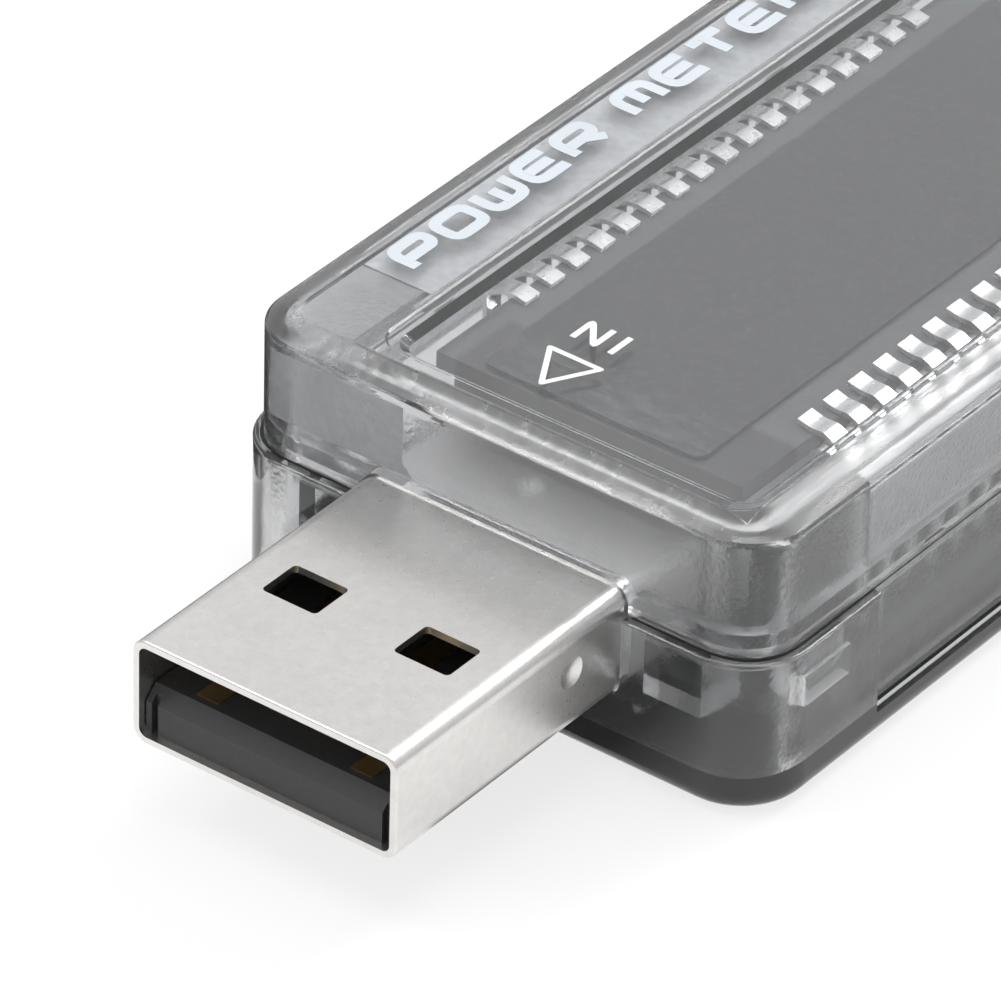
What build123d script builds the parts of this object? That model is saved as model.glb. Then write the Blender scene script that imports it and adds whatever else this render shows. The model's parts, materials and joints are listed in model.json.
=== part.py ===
from build123d import *
import os

# Inline USB power meter: a clear smoked two-part case around a board with a
# USB-A plug at one end, a USB-A socket at the other and a segment display.
# Frame: +Y runs from the plug to the socket, +Z up, origin under the middle.

# overall stations along the length
TOTAL_LENGTH = 67.0
TIP_Y = -TOTAL_LENGTH / 2
LOWER_FRONT_Y = TIP_Y + 13.0
LOWER_REAR_Y = TOTAL_LENGTH / 2
RIM_PROUD = 0.4
UPPER_FRONT_Y = LOWER_FRONT_Y + RIM_PROUD
UPPER_REAR_Y = LOWER_REAR_Y - RIM_PROUD
CASE_MID_Y = (LOWER_FRONT_Y + LOWER_REAR_Y) / 2

# upper cover
UPPER_WIDTH = 24.0
UPPER_LENGTH = UPPER_REAR_Y - UPPER_FRONT_Y
UPPER_CORNER_R = 2.5
UPPER_WALL = 1.0
SEAM_Z = 6.65
SEAM_GAP = 0.08
RIM_EDGE_R = 0.15
BEVEL_Z = 11.6
CASE_HEIGHT = 12.3
BEVEL_SIDE = 1.5
BEVEL_END = 1.0
BEVEL_EDGE_R = 0.22
CEILING_Z = 11.3
CEILING_CHAMFER = 0.15
LIP_BOTTOM_Z = 5.85
LIP_TOP_Z = 7.3
LIP_THICKNESS = 0.55

# display window sunk into the roof
WINDOW_DEPTH = 0.3
WINDOW_X = (-6.9, 10.3)
WINDOW_Y = (TIP_Y + 14.9, TIP_Y + 53.6)
WINDOW_CORNER_R = 1.2
WINDOW_RIM_DEPTH = 0.05
WINDOW_RIM_SLOPE = 0.1
WINDOW_LEDGE = (0.55, 0.12)
WINDOW_SLOPE = 0.42

# lower cover
LOWER_WIDTH = UPPER_WIDTH + 2 * RIM_PROUD
LOWER_LENGTH = LOWER_REAR_Y - LOWER_FRONT_Y
LOWER_CORNER_R = UPPER_CORNER_R + RIM_PROUD
LOWER_WALL = 1.3
FLOOR_TOP_Z = 1.1
BOTTOM_EDGE_R = 0.9
GRIP_FRONT_Y = TIP_Y + 20.4
GRIP_REAR_Y = TIP_Y + 59.6
GRIP_BOTTOM_Z = 1.3
GRIP_INNER_DEPTH = 0.25

# snap fit between the covers
SNAP_Y = (TIP_Y + 17.6, TIP_Y + 62.4)
SNAP_LENGTH = 2.4
SNAP_THICKNESS = 0.6
SNAP_BOTTOM_Z = 4.0
SNAP_HOOK = 0.35

# small pads on the lower rim that the upper cover rests on
PAD_X = 11.35
PAD_Y = (-9.0, 12.0)
PAD_SIZE = (0.3, 1.2)

RAIL_X = (9.45, 10.15)
RAIL_Y = (TIP_Y + 20.2, TIP_Y + 51.0, TIP_Y + 60.0)

# main board
BOARD_TOP_Z = 3.25
BOARD_THICKNESS = 1.0
BOARD_BOTTOM_Z = BOARD_TOP_Z - BOARD_THICKNESS
BOARD_HALF_WIDTH = 10.2
BOARD_NOSE_HALF_WIDTH = 6.4
BOARD_NOSE_Y = TIP_Y + 14.8
BOARD_FRONT_Y = TIP_Y + 16.9
BOARD_REAR_Y = TIP_Y + 64.6
PIN_TAIL_Z = 1.7

# USB-A plug
PLUG_Z = 5.5
PLUG_WIDTH = 12.0
PLUG_HEIGHT = 4.5
PLUG_CORNER_R = 0.64
SHEET = 0.3
PLUG_LENGTH = 18.75
PLUG_HOLE_X = 3.0
PLUG_HOLE_WIDTH = 2.5
PLUG_HOLE_LENGTH = 2.0
PLUG_HOLE_Y = TIP_Y + 5.15
PLUG_LIP_R = 0.1
PLUG_DIMPLE_Y = TIP_Y + 10.2
PLUG_DIMPLE_Z = PLUG_Z + 0.4
PLUG_DIMPLE_R = 0.65
PLUG_DIMPLE_DEPTH = 0.2
PLUG_CRIMP = (-0.6, TIP_Y + 16.6)
PLUG_TONGUE_TOP_Z = PLUG_Z - 0.1
PLUG_TONGUE_FRONT_Y = TIP_Y + 0.35
PLUG_TONGUE_HALF_WIDTH = 5.65
PLUG_BLOCK_Y = TIP_Y + 11.9
PLUG_LEG_Y = (TIP_Y + 15.7, TIP_Y + 18.0)
PLUG_LEG_WIDTH = 1.1
CONTACT_X = (-3.5, -1.0, 1.0, 3.5)
CONTACT_WIDTH = 1.0
CONTACT_THICKNESS = 0.25
CONTACT_PROUD = 0.05
PLUG_OUTER_CONTACT_Y = TIP_Y + 1.2
PLUG_INNER_CONTACT_Y = TIP_Y + 2.2
PLUG_CONTACT_REAR_Y = TIP_Y + 19.6
TAIL_WIDTH = 0.6

# USB-A socket
SOCKET_WIDTH = 13.1
SOCKET_HEIGHT = 5.72
SOCKET_CORNER_R = 0.6
SOCKET_FRONT_Y = TOTAL_LENGTH / 2 - 14.0
SOCKET_MOUTH_Y = TOTAL_LENGTH / 2
SOCKET_BOTTOM_Z = BOARD_TOP_Z
SOCKET_Z = SOCKET_BOTTOM_Z + SOCKET_HEIGHT / 2
SOCKET_TONGUE_Z = (6.2, 8.04)
SOCKET_TONGUE_HALF_WIDTH = 5.5
SOCKET_TONGUE_MOUTH_Y = SOCKET_MOUTH_Y - 1.0
SOCKET_BLOCK_DEPTH = 3.2
SOCKET_LEG_Y = SOCKET_FRONT_Y + 9.0
SOCKET_LEG_WIDTH = 2.0
SPRING_LENGTH = 5.0
SPRING_WIDTH = 2.2
SPRING_X = 3.0
SPRING_SAG = 0.35

# display stack
LCD_X = (-5.6, 8.3)
LCD_Y = (TIP_Y + 17.1, TIP_Y + 52.7)
GLASS_THICKNESS = 0.7
FRONT_GLASS_TOP_Z = 10.9
FRONT_GLASS_BOTTOM_Z = FRONT_GLASS_TOP_Z - GLASS_THICKNESS
REAR_GLASS_BOTTOM_Z = FRONT_GLASS_BOTTOM_Z - GLASS_THICKNESS
PIN_LEDGE = 0.85
POLARISER_X = (-3.8, 6.2)
POLARISER_THICKNESS = 0.15
LIGHT_GUIDE_Z = (7.6, 9.15)
LIGHT_GUIDE_INSET = (1.0, 2.0)
POST_R = 0.8
POST_INSET = (3.4, 4.4, 3.2)

# display clip pins
LCD_PIN_COUNT = 17
LCD_PIN_PITCH = 1.55
LCD_PIN_FIRST_Y = TIP_Y + 21.9
LCD_PIN_HEAD = 0.85
LCD_PIN_SHEET = 0.22
LCD_PIN_REACH = 1.2
LCD_LEG_WIDTH = 0.45
LCD_LEG_TOP_Z = 9.6

# side button
BUTTON_Y = 16.9
BUTTON_Z = 5.0
BUTTON_LENGTH = 3.2
BUTTON_HEIGHT = 1.9
BUTTON_CORNER_R = 0.6
BUTTON_CLEARANCE = 0.12
BUTTON_FLANGE = 0.45
BUTTON_FLANGE_DEPTH = 0.5
BUTTON_INNER_GAP = 0.06
SWITCH_DEPTH = 2.4
SWITCH_LENGTH = 4.2
SWITCH_HEIGHT = 3.3
SWITCH_REAR_X = 6.1
SWITCH_COVER = 0.2
PLUNGER_LENGTH = 1.8
PLUNGER_HEIGHT = 1.1
PLUNGER_CLEARANCE = 0.1
PLUNGER_ENTRY = 0.7
PLUNGER_TRAVEL_ROOM = 0.5


def block(x, y, z):
    """Box between the low and high value of each axis."""
    size = [high - low for low, high in (x, y, z)]
    middle = [(high + low) / 2 for low, high in (x, y, z)]
    return Pos(*middle) * Box(*size)


def group(pieces):
    """Several loose solids kept in one node."""
    return Compound([solid for piece in pieces for solid in piece.solids()])


def rounded_prism(x, y, radius, z):
    """Upright prism with rounded corners."""
    outline = RectangleRounded(x[1] - x[0], y[1] - y[0], radius)
    middle = Pos((x[0] + x[1]) / 2, (y[0] + y[1]) / 2, z[0])
    return extrude(middle * outline, amount=z[1] - z[0])


def rounded_taper(low, high):
    """Loft between two rounded rectangles, each given as x, y, radius and z."""
    faces = []
    for x, y, radius, z in (low, high):
        outline = RectangleRounded(x[1] - x[0], y[1] - y[0], radius)
        faces.append(Pos((x[0] + x[1]) / 2, (y[0] + y[1]) / 2, z) * outline)
    return loft(faces)


def bar_along_y(x_mid, z_mid, width, height, radius, y):
    """Rounded bar whose section stands in the XZ plane."""
    plane = Plane(origin=(x_mid, y[1], z_mid), x_dir=(1, 0, 0), z_dir=(0, -1, 0))
    return extrude(plane * RectangleRounded(width, height, radius), amount=y[1] - y[0])


def profile_along_y(points, y):
    """Polygon in the XZ plane run between two Y stations."""
    plane = Plane(origin=(0, y[1], 0), x_dir=(1, 0, 0), z_dir=(0, -1, 0))
    return extrude(plane * Polygon(*points, align=None), amount=y[1] - y[0], dir=(0, -1, 0))


def profile_along_x(points, x):
    """Polygon in the YZ plane run between two X stations."""
    plane = Plane(origin=(x[0], 0, 0), x_dir=(0, 1, 0), z_dir=(1, 0, 0))
    return extrude(plane * Polygon(*points, align=None), amount=x[1] - x[0], dir=(1, 0, 0))


def rounded_pad_along_x(y_mid, z_mid, length, height, radius, x):
    """Rounded pad whose section stands in the YZ plane."""
    plane = Plane(origin=(x[0], y_mid, z_mid), x_dir=(0, 1, 0), z_dir=(1, 0, 0))
    return extrude(plane * RectangleRounded(length, height, radius), amount=x[1] - x[0])


def span(half):
    """Range of equal reach on both sides of zero."""
    return (-half, half)


def around(middle, length):
    """Range of a given length about a middle."""
    return (middle - length / 2, middle + length / 2)


def port_openings():
    """Clear holes in the end walls for the plug and the socket."""
    plug = bar_along_y(
        0, PLUG_Z, PLUG_WIDTH + 0.2, PLUG_HEIGHT + 0.2, PLUG_CORNER_R + 0.1,
        (LOWER_FRONT_Y - 1, LOWER_FRONT_Y + 3),
    )
    socket = bar_along_y(
        0, SOCKET_Z, SOCKET_WIDTH + 0.2, SOCKET_HEIGHT + 0.2, SOCKET_CORNER_R + 0.1,
        (LOWER_REAR_Y - 3, LOWER_REAR_Y + 1),
    )
    return plug + socket


def snap_tab(side, y_mid):
    """Hooked tab that hangs from the upper cover inside the lower wall."""
    face = LOWER_WIDTH / 2 - LOWER_WALL - 0.05
    root = face - SNAP_THICKNESS
    points = [
        (side * root, LIP_TOP_Z),
        (side * face, LIP_TOP_Z),
        (side * face, SNAP_BOTTOM_Z + 1.0),
        (side * (face + SNAP_HOOK), SNAP_BOTTOM_Z + 0.8),
        (side * face, SNAP_BOTTOM_Z),
        (side * root, SNAP_BOTTOM_Z),
    ]
    return profile_along_y(points, around(y_mid, SNAP_LENGTH))


def top_cover():
    """Upper shell with bevelled roof, sunk window, inner lip and snap tabs."""
    x = span(UPPER_WIDTH / 2)
    y = (UPPER_FRONT_Y, UPPER_REAR_Y)
    roof_x = span(UPPER_WIDTH / 2 - BEVEL_SIDE)
    roof_y = (y[0] + BEVEL_END, y[1] - BEVEL_END)
    shell = rounded_prism(x, y, UPPER_CORNER_R, (SEAM_Z + SEAM_GAP, BEVEL_Z))
    shell += rounded_taper(
        (x, y, UPPER_CORNER_R, BEVEL_Z), (roof_x, roof_y, UPPER_CORNER_R - BEVEL_END, CASE_HEIGHT)
    )
    rims = shell.edges().group_by(Axis.Z)
    shell = fillet(rims[-1], BEVEL_EDGE_R)
    shoulder_rim = [e for e in shell.edges() if abs(e.center().Z - BEVEL_Z) < 0.01 and e.length > 0.5]
    shell = fillet(shoulder_rim, BEVEL_EDGE_R)
    in_x = span(UPPER_WIDTH / 2 - UPPER_WALL)
    in_y = (y[0] + UPPER_WALL, y[1] - UPPER_WALL)
    in_r = UPPER_CORNER_R - UPPER_WALL
    shoulder = CEILING_Z - CEILING_CHAMFER
    shell -= rounded_prism(in_x, in_y, in_r, (SEAM_Z - 1, shoulder))
    top_x = (in_x[0] + CEILING_CHAMFER, in_x[1] - CEILING_CHAMFER)
    top_y = (in_y[0] + CEILING_CHAMFER, in_y[1] - CEILING_CHAMFER)
    shell -= rounded_taper(
        (in_x, in_y, in_r, shoulder), (top_x, top_y, in_r - CEILING_CHAMFER, CEILING_Z)
    )
    lip_x = span(LOWER_WIDTH / 2 - LOWER_WALL - 0.05)
    lip_y = (LOWER_FRONT_Y + LOWER_WALL + 0.05, LOWER_REAR_Y - LOWER_WALL - 0.05)
    lip_r = LOWER_CORNER_R - LOWER_WALL
    ring = rounded_prism(lip_x, lip_y, lip_r, (LIP_BOTTOM_Z, LIP_TOP_Z))
    ring -= rounded_prism(
        (lip_x[0] + LIP_THICKNESS, lip_x[1] - LIP_THICKNESS),
        (lip_y[0] + LIP_THICKNESS, lip_y[1] - LIP_THICKNESS),
        lip_r - LIP_THICKNESS, (LIP_BOTTOM_Z - 1, LIP_TOP_Z + 1),
    )
    shell += ring
    for side in (-1, 1):
        inner = sorted((side * (in_x[1] - 0.05), side * (in_x[1] + GRIP_INNER_DEPTH)))
        shell -= block(inner, (GRIP_FRONT_Y, GRIP_REAR_Y), (LIP_TOP_Z + 0.2, shoulder - 0.3))
        for y_mid in SNAP_Y:
            shell += snap_tab(side, y_mid)
    for cut in window_cuts():
        shell -= cut
    shell -= button_room()
    return shell - port_openings()


def inset(rounded, amount):
    """Rounded rectangle given as x, y, radius and z, drawn in on every side."""
    x, y, radius, z = rounded
    return ((x[0] + amount, x[1] - amount), (y[0] + amount, y[1] - amount), radius - amount, z)


def window_cuts():
    """Shallow rim of the display window, and the deeper floor inside it."""
    rim_z = CASE_HEIGHT - WINDOW_RIM_DEPTH
    rim = (WINDOW_X, WINDOW_Y, WINDOW_CORNER_R, CASE_HEIGHT)
    ledge_x = (WINDOW_X[0] + WINDOW_LEDGE[0], WINDOW_X[1] - WINDOW_LEDGE[1])
    ledge_y = (WINDOW_Y[0] + WINDOW_LEDGE[1], WINDOW_Y[1] - WINDOW_LEDGE[1])
    floor = (ledge_x, ledge_y, WINDOW_CORNER_R - WINDOW_LEDGE[1], CASE_HEIGHT)
    return (
        rounded_taper(inset((*rim[:3], rim_z), WINDOW_RIM_SLOPE), rim),
        rounded_taper(inset((*floor[:3], CASE_HEIGHT - WINDOW_DEPTH), WINDOW_SLOPE), floor),
    )


def button_room():
    """Space inside the lip and the wall that the button needs."""
    inner = LOWER_WIDTH / 2 - LOWER_WALL
    return block(
        (inner - 2.0, inner), around(BUTTON_Y, BUTTON_LENGTH + 2.0), (BUTTON_Z - 2.0, LIP_TOP_Z)
    )


def bottom_cover():
    """Lower tray with rounded floor edge, grip recesses, ribs and snap pockets."""
    x = span(LOWER_WIDTH / 2)
    y = (LOWER_FRONT_Y, LOWER_REAR_Y)
    tray = rounded_prism(x, y, LOWER_CORNER_R, (0, SEAM_Z))
    tray = fillet(tray.edges().group_by(Axis.Z)[0], BOTTOM_EDGE_R)
    tray = fillet(tray.edges().group_by(Axis.Z)[-1], RIM_EDGE_R)
    in_x = span(LOWER_WIDTH / 2 - LOWER_WALL)
    in_y = (y[0] + LOWER_WALL, y[1] - LOWER_WALL)
    tray -= rounded_prism(in_x, in_y, LOWER_CORNER_R - LOWER_WALL, (FLOOR_TOP_Z, SEAM_Z + 1))
    for side in (-1, 1):
        outer = sorted((side * UPPER_WIDTH / 2, side * (LOWER_WIDTH / 2 + 1)))
        tray -= block(outer, (GRIP_FRONT_Y, GRIP_REAR_Y), (GRIP_BOTTOM_Z, SEAM_Z + 1))
        for y_mid in SNAP_Y:
            pocket = sorted((side * (in_x[1] - 0.1), side * (in_x[1] + SNAP_HOOK + 0.15)))
            tray -= block(
                pocket, around(y_mid, SNAP_LENGTH + 0.3), (SNAP_BOTTOM_Z - 0.2, SNAP_BOTTOM_Z + 1.1)
            )
        locator = sorted((side * 6.7, side * 9.2))
        tray += block(locator, (in_y[0] - 0.1, in_y[0] + 1.9), (3.4, LIP_BOTTOM_Z - 0.1))
        rail = sorted((side * RAIL_X[0], side * RAIL_X[1]))
        for y_mid in RAIL_Y:
            tray += block(rail, around(y_mid, 1.4), (FLOOR_TOP_Z - 0.1, BOARD_BOTTOM_Z))
        for y_mid in PAD_Y:
            pad = (around(side * PAD_X, PAD_SIZE[0]), around(y_mid, PAD_SIZE[1]))
            tray += block(*pad, (SEAM_Z - 0.1, SEAM_Z + SEAM_GAP))
    tray -= rounded_pad_along_x(
        BUTTON_Y, BUTTON_Z, BUTTON_LENGTH + 2 * BUTTON_CLEARANCE,
        BUTTON_HEIGHT + 2 * BUTTON_CLEARANCE, BUTTON_CORNER_R, (in_x[1] - 1, LOWER_WIDTH / 2 + 1),
    )
    return tray - port_openings()


def lcd_pin_stations():
    """Y of each display pin."""
    return [LCD_PIN_FIRST_Y + LCD_PIN_PITCH * n for n in range(LCD_PIN_COUNT)]


def lcd_leg_x(side):
    """X range of a display pin's leg on one side."""
    edge = LCD_X[1] if side > 0 else LCD_X[0]
    return sorted((edge + side * LCD_PIN_REACH, edge + side * (LCD_PIN_REACH - LCD_PIN_SHEET)))


def lcd_pins(side):
    """Row of clip pins that grip the display glass and drop into the board."""
    edge = LCD_X[1] if side > 0 else LCD_X[0]
    top = FRONT_GLASS_TOP_Z
    under = FRONT_GLASS_BOTTOM_Z
    outline = [
        (-0.75, top), (-0.75, top + 0.2), (0.2, top + 0.2), (LCD_PIN_REACH, top - 0.55),
        (LCD_PIN_REACH, LCD_LEG_TOP_Z), (LCD_PIN_REACH - LCD_PIN_SHEET, LCD_LEG_TOP_Z),
        (LCD_PIN_REACH - LCD_PIN_SHEET, top - 0.65), (0.2, top - 0.35), (0.2, under - 0.2),
        (-0.7, under - 0.2), (-0.7, under), (0.0, under), (0.0, top),
    ]
    points = [(edge + side * along, z) for along, z in outline]
    pins = []
    for y_mid in lcd_pin_stations():
        head = profile_along_y(points, around(y_mid, LCD_PIN_HEAD))
        leg = block(lcd_leg_x(side), around(y_mid, LCD_LEG_WIDTH), (PIN_TAIL_Z, LCD_LEG_TOP_Z + 0.3))
        pins.append(head + leg)
    return group(pins)


def front_glass():
    """Upper display glass, wide enough for the clip pins."""
    return block(LCD_X, LCD_Y, (FRONT_GLASS_BOTTOM_Z, FRONT_GLASS_TOP_Z))


def rear_glass_x():
    """X range of the narrower lower glass."""
    return (LCD_X[0] + PIN_LEDGE, LCD_X[1] - PIN_LEDGE)


def rear_glass():
    """Lower display glass between the two pin rows."""
    return block(rear_glass_x(), LCD_Y, (REAR_GLASS_BOTTOM_Z, FRONT_GLASS_BOTTOM_Z))


def front_polariser():
    """Dark film on top of the display."""
    y = (LCD_Y[0] + 0.3, LCD_Y[1] - 0.3)
    z = (FRONT_GLASS_TOP_Z, FRONT_GLASS_TOP_Z + POLARISER_THICKNESS)
    return rounded_prism(POLARISER_X, y, 0.5, z)


def rear_polariser():
    """Film under the display."""
    z = (REAR_GLASS_BOTTOM_Z - POLARISER_THICKNESS, REAR_GLASS_BOTTOM_Z)
    return block(rear_glass_x(), LCD_Y, z)


def light_guide():
    """Backlight slab under the display."""
    x = (LCD_X[0] + LIGHT_GUIDE_INSET[0], LCD_X[1] - LIGHT_GUIDE_INSET[0])
    y = (LCD_Y[0] + LIGHT_GUIDE_INSET[1], LCD_Y[1] - LIGHT_GUIDE_INSET[1])
    return block(x, y, LIGHT_GUIDE_Z)


def diffuser():
    """Thin white sheet between the backlight and the display."""
    x = (LCD_X[0] + LIGHT_GUIDE_INSET[0], LCD_X[1] - LIGHT_GUIDE_INSET[0])
    y = (LCD_Y[0] + LIGHT_GUIDE_INSET[1], LCD_Y[1] - LIGHT_GUIDE_INSET[1])
    return block(x, y, (LIGHT_GUIDE_Z[1], REAR_GLASS_BOTTOM_Z - POLARISER_THICKNESS))


def display_posts():
    """Four spacers that carry the backlight above the board."""
    posts = []
    for x in (LCD_X[0] + POST_INSET[0], LCD_X[1] - POST_INSET[0]):
        for y in (LCD_Y[0] + POST_INSET[1], LCD_Y[1] - POST_INSET[2]):
            height = LIGHT_GUIDE_Z[0] - BOARD_TOP_Z
            posts.append(Pos(x, y, BOARD_TOP_Z + height / 2) * Cylinder(POST_R, height))
    return group(posts)


def plug_leg_slots(margin):
    """Board slots, or the legs themselves when the margin is zero."""
    legs = []
    for side in (-1, 1):
        for y_mid in PLUG_LEG_Y:
            x = sorted((side * PLUG_WIDTH / 2, side * (PLUG_WIDTH / 2 - SHEET)))
            x = (x[0] - margin, x[1] + margin)
            legs.append(block(x, around(y_mid, PLUG_LEG_WIDTH + 2 * margin), (PIN_TAIL_Z, PLUG_Z)))
    return legs


def plug_shell():
    """Folded steel shell with latch holes, side dimples and solder legs."""
    y = (TIP_Y, TIP_Y + PLUG_LENGTH)
    shell = bar_along_y(0, PLUG_Z, PLUG_WIDTH, PLUG_HEIGHT, PLUG_CORNER_R, y)
    shell = fillet(shell.edges().group_by(Axis.Y)[0], PLUG_LIP_R)
    shell -= bar_along_y(
        0, PLUG_Z, PLUG_WIDTH - 2 * SHEET, PLUG_HEIGHT - 2 * SHEET, PLUG_CORNER_R - SHEET,
        (y[0] - 1, y[1] + 1),
    )
    ball_r = (PLUG_DIMPLE_R ** 2 + PLUG_DIMPLE_DEPTH ** 2) / (2 * PLUG_DIMPLE_DEPTH)
    crimp_z = PLUG_Z + PLUG_HEIGHT / 2 + ball_r - PLUG_DIMPLE_DEPTH
    shell -= Pos(*PLUG_CRIMP, crimp_z) * Sphere(ball_r)
    for side in (-1, 1):
        hole_x = around(side * PLUG_HOLE_X, PLUG_HOLE_WIDTH)
        hole_y = (PLUG_HOLE_Y, PLUG_HOLE_Y + PLUG_HOLE_LENGTH)
        hole = rounded_prism(hole_x, hole_y, 0.2, (PLUG_Z - PLUG_HEIGHT, PLUG_Z + PLUG_HEIGHT))
        shell -= hole
        ball_x = side * (PLUG_WIDTH / 2 + ball_r - PLUG_DIMPLE_DEPTH)
        seam_away = Rot(0, 0, 0 if side > 0 else 180)
        shell -= Pos(ball_x, PLUG_DIMPLE_Y, PLUG_DIMPLE_Z) * seam_away * Sphere(ball_r)
    for leg in plug_leg_slots(0.0):
        shell += leg
    return shell


def plug_contacts():
    """Four plated strips on the tongue, each with a tail into the board."""
    top = PLUG_TONGUE_TOP_Z + CONTACT_PROUD
    strips = []
    for x_mid in CONTACT_X:
        front = PLUG_OUTER_CONTACT_Y if abs(x_mid) > 2 else PLUG_INNER_CONTACT_Y
        strip = block(
            around(x_mid, CONTACT_WIDTH), (front, PLUG_CONTACT_REAR_Y), (top - CONTACT_THICKNESS, top)
        )
        tail = block(
            around(x_mid, TAIL_WIDTH),
            (PLUG_CONTACT_REAR_Y - CONTACT_THICKNESS, PLUG_CONTACT_REAR_Y), (PIN_TAIL_Z, top),
        )
        strips.append(strip + tail)
    return group(strips)


def plug_insulator():
    """Black tongue and rear block that carry the plug contacts."""
    low = PLUG_Z - PLUG_HEIGHT / 2 + SHEET
    high = PLUG_Z + PLUG_HEIGHT / 2 - SHEET
    rear = TIP_Y + PLUG_LENGTH - 0.4
    x = span(PLUG_TONGUE_HALF_WIDTH)
    tongue = block(x, (PLUG_TONGUE_FRONT_Y, PLUG_BLOCK_Y), (low, PLUG_TONGUE_TOP_Z))
    front_top = [e for e in tongue.edges().group_by(Axis.Y)[0] if e.center().Z > PLUG_TONGUE_TOP_Z - 0.1]
    tongue = chamfer(front_top, 0.55)
    body = tongue + block(x, (PLUG_BLOCK_Y, rear), (low, high))
    for side in (-1, 1):
        notch = sorted((side * 5.1, side * 5.4))
        body -= block(notch, (PLUG_TONGUE_FRONT_Y - 1, PLUG_TONGUE_FRONT_Y + 0.3), (low - 1, high))
    corners = bar_along_y(
        0, PLUG_Z, PLUG_WIDTH - 2 * SHEET, PLUG_HEIGHT - 2 * SHEET, PLUG_CORNER_R - SHEET,
        (TIP_Y, rear + 1),
    )
    return (body & corners) - plug_contacts()


def socket_leg_slots(margin):
    """Board slots for the socket legs, or the legs when the margin is zero."""
    legs = []
    for side in (-1, 1):
        x = sorted((side * SOCKET_WIDTH / 2, side * (SOCKET_WIDTH / 2 - SHEET)))
        x = (x[0] - margin, x[1] + margin)
        legs.append(
            block(x, around(SOCKET_LEG_Y, SOCKET_LEG_WIDTH + 2 * margin), (PIN_TAIL_Z, SOCKET_Z))
        )
    return legs


def socket_spring(side, up):
    """Sprung finger cut from the socket shell and bent into the opening."""
    sheet_in = SOCKET_HEIGHT / 2 - SHEET
    root_y = SOCKET_MOUTH_Y - 8.0
    tip_y = root_y + SPRING_LENGTH
    points = [
        (root_y - 0.2, SOCKET_Z + up * (sheet_in + SHEET)),
        (root_y - 0.2, SOCKET_Z + up * sheet_in),
        (tip_y, SOCKET_Z + up * (sheet_in - SPRING_SAG)),
        (tip_y, SOCKET_Z + up * (sheet_in - SPRING_SAG + SHEET * 0.7)),
        (root_y, SOCKET_Z + up * (sheet_in + SHEET)),
    ]
    return profile_along_x(points, around(side * SPRING_X, SPRING_WIDTH - 0.6))


def socket_shell():
    """Steel socket shell with sprung fingers and two board legs."""
    y = (SOCKET_FRONT_Y, SOCKET_MOUTH_Y)
    shell = bar_along_y(0, SOCKET_Z, SOCKET_WIDTH, SOCKET_HEIGHT, SOCKET_CORNER_R, y)
    shell -= bar_along_y(
        0, SOCKET_Z, SOCKET_WIDTH - 2 * SHEET, SOCKET_HEIGHT - 2 * SHEET, SOCKET_CORNER_R - SHEET,
        (y[0] - 1, y[1] + 1),
    )
    root_y = SOCKET_MOUTH_Y - 8.0
    for side in (-1, 1):
        for up in (-1, 1):
            z = sorted((SOCKET_Z + up * (SOCKET_HEIGHT / 2 - SHEET - 0.1), SOCKET_Z + up * SOCKET_HEIGHT))
            window_y = (root_y, root_y + SPRING_LENGTH + 0.3)
            shell -= block(around(side * SPRING_X, SPRING_WIDTH), window_y, z)
            if up > 0:
                shell += socket_spring(side, up)
    for leg in socket_leg_slots(0.0):
        shell += leg
    return shell


def socket_contacts():
    """Four strips under the socket tongue with a bowed tip and a board tail."""
    high = SOCKET_TONGUE_Z[0]
    low = high - CONTACT_THICKNESS
    tip = SOCKET_TONGUE_MOUTH_Y - 0.6
    strips = []
    for x_mid in CONTACT_X:
        outline = [
            (SOCKET_FRONT_Y - 0.6, high), (SOCKET_FRONT_Y - 0.6, low), (tip - 4.5, low),
            (tip - 2.6, low - 0.55), (tip - 1.8, low - 0.55), (tip, high - 0.1), (tip, high),
            (tip - 1.7, low - 0.3), (tip - 2.7, low - 0.3), (tip - 4.4, high),
        ]
        strip = profile_along_x(outline, around(x_mid, CONTACT_WIDTH))
        tail_y = (SOCKET_FRONT_Y - 0.6, SOCKET_FRONT_Y - 0.6 + CONTACT_THICKNESS)
        strips.append(strip + block(around(x_mid, TAIL_WIDTH), tail_y, (PIN_TAIL_Z, high)))
    return group(strips)


def socket_insulator():
    """Socket tongue and rear block."""
    inner = bar_along_y(
        0, SOCKET_Z, SOCKET_WIDTH - 2 * SHEET, SOCKET_HEIGHT - 2 * SHEET, SOCKET_CORNER_R - SHEET,
        (SOCKET_FRONT_Y, SOCKET_FRONT_Y + SOCKET_BLOCK_DEPTH),
    )
    tongue = block(
        span(SOCKET_TONGUE_HALF_WIDTH), (SOCKET_FRONT_Y + 1, SOCKET_TONGUE_MOUTH_Y), SOCKET_TONGUE_Z
    )
    tongue = chamfer(tongue.edges().group_by(Axis.Y)[-1], 0.3)
    return (inner + tongue) - socket_contacts()


def tail_holes():
    """Round holes through the board for every pin tail."""
    holes = []
    for side in (-1, 1):
        x_low, x_high = lcd_leg_x(side)
        holes += [((x_low + x_high) / 2, y, 0.35) for y in lcd_pin_stations()]
    plug_y = PLUG_CONTACT_REAR_Y - CONTACT_THICKNESS / 2
    socket_y = SOCKET_FRONT_Y - 0.6 + CONTACT_THICKNESS / 2
    holes += [(x, plug_y, 0.42) for x in CONTACT_X]
    holes += [(x, socket_y, 0.42) for x in CONTACT_X]
    return holes


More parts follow.
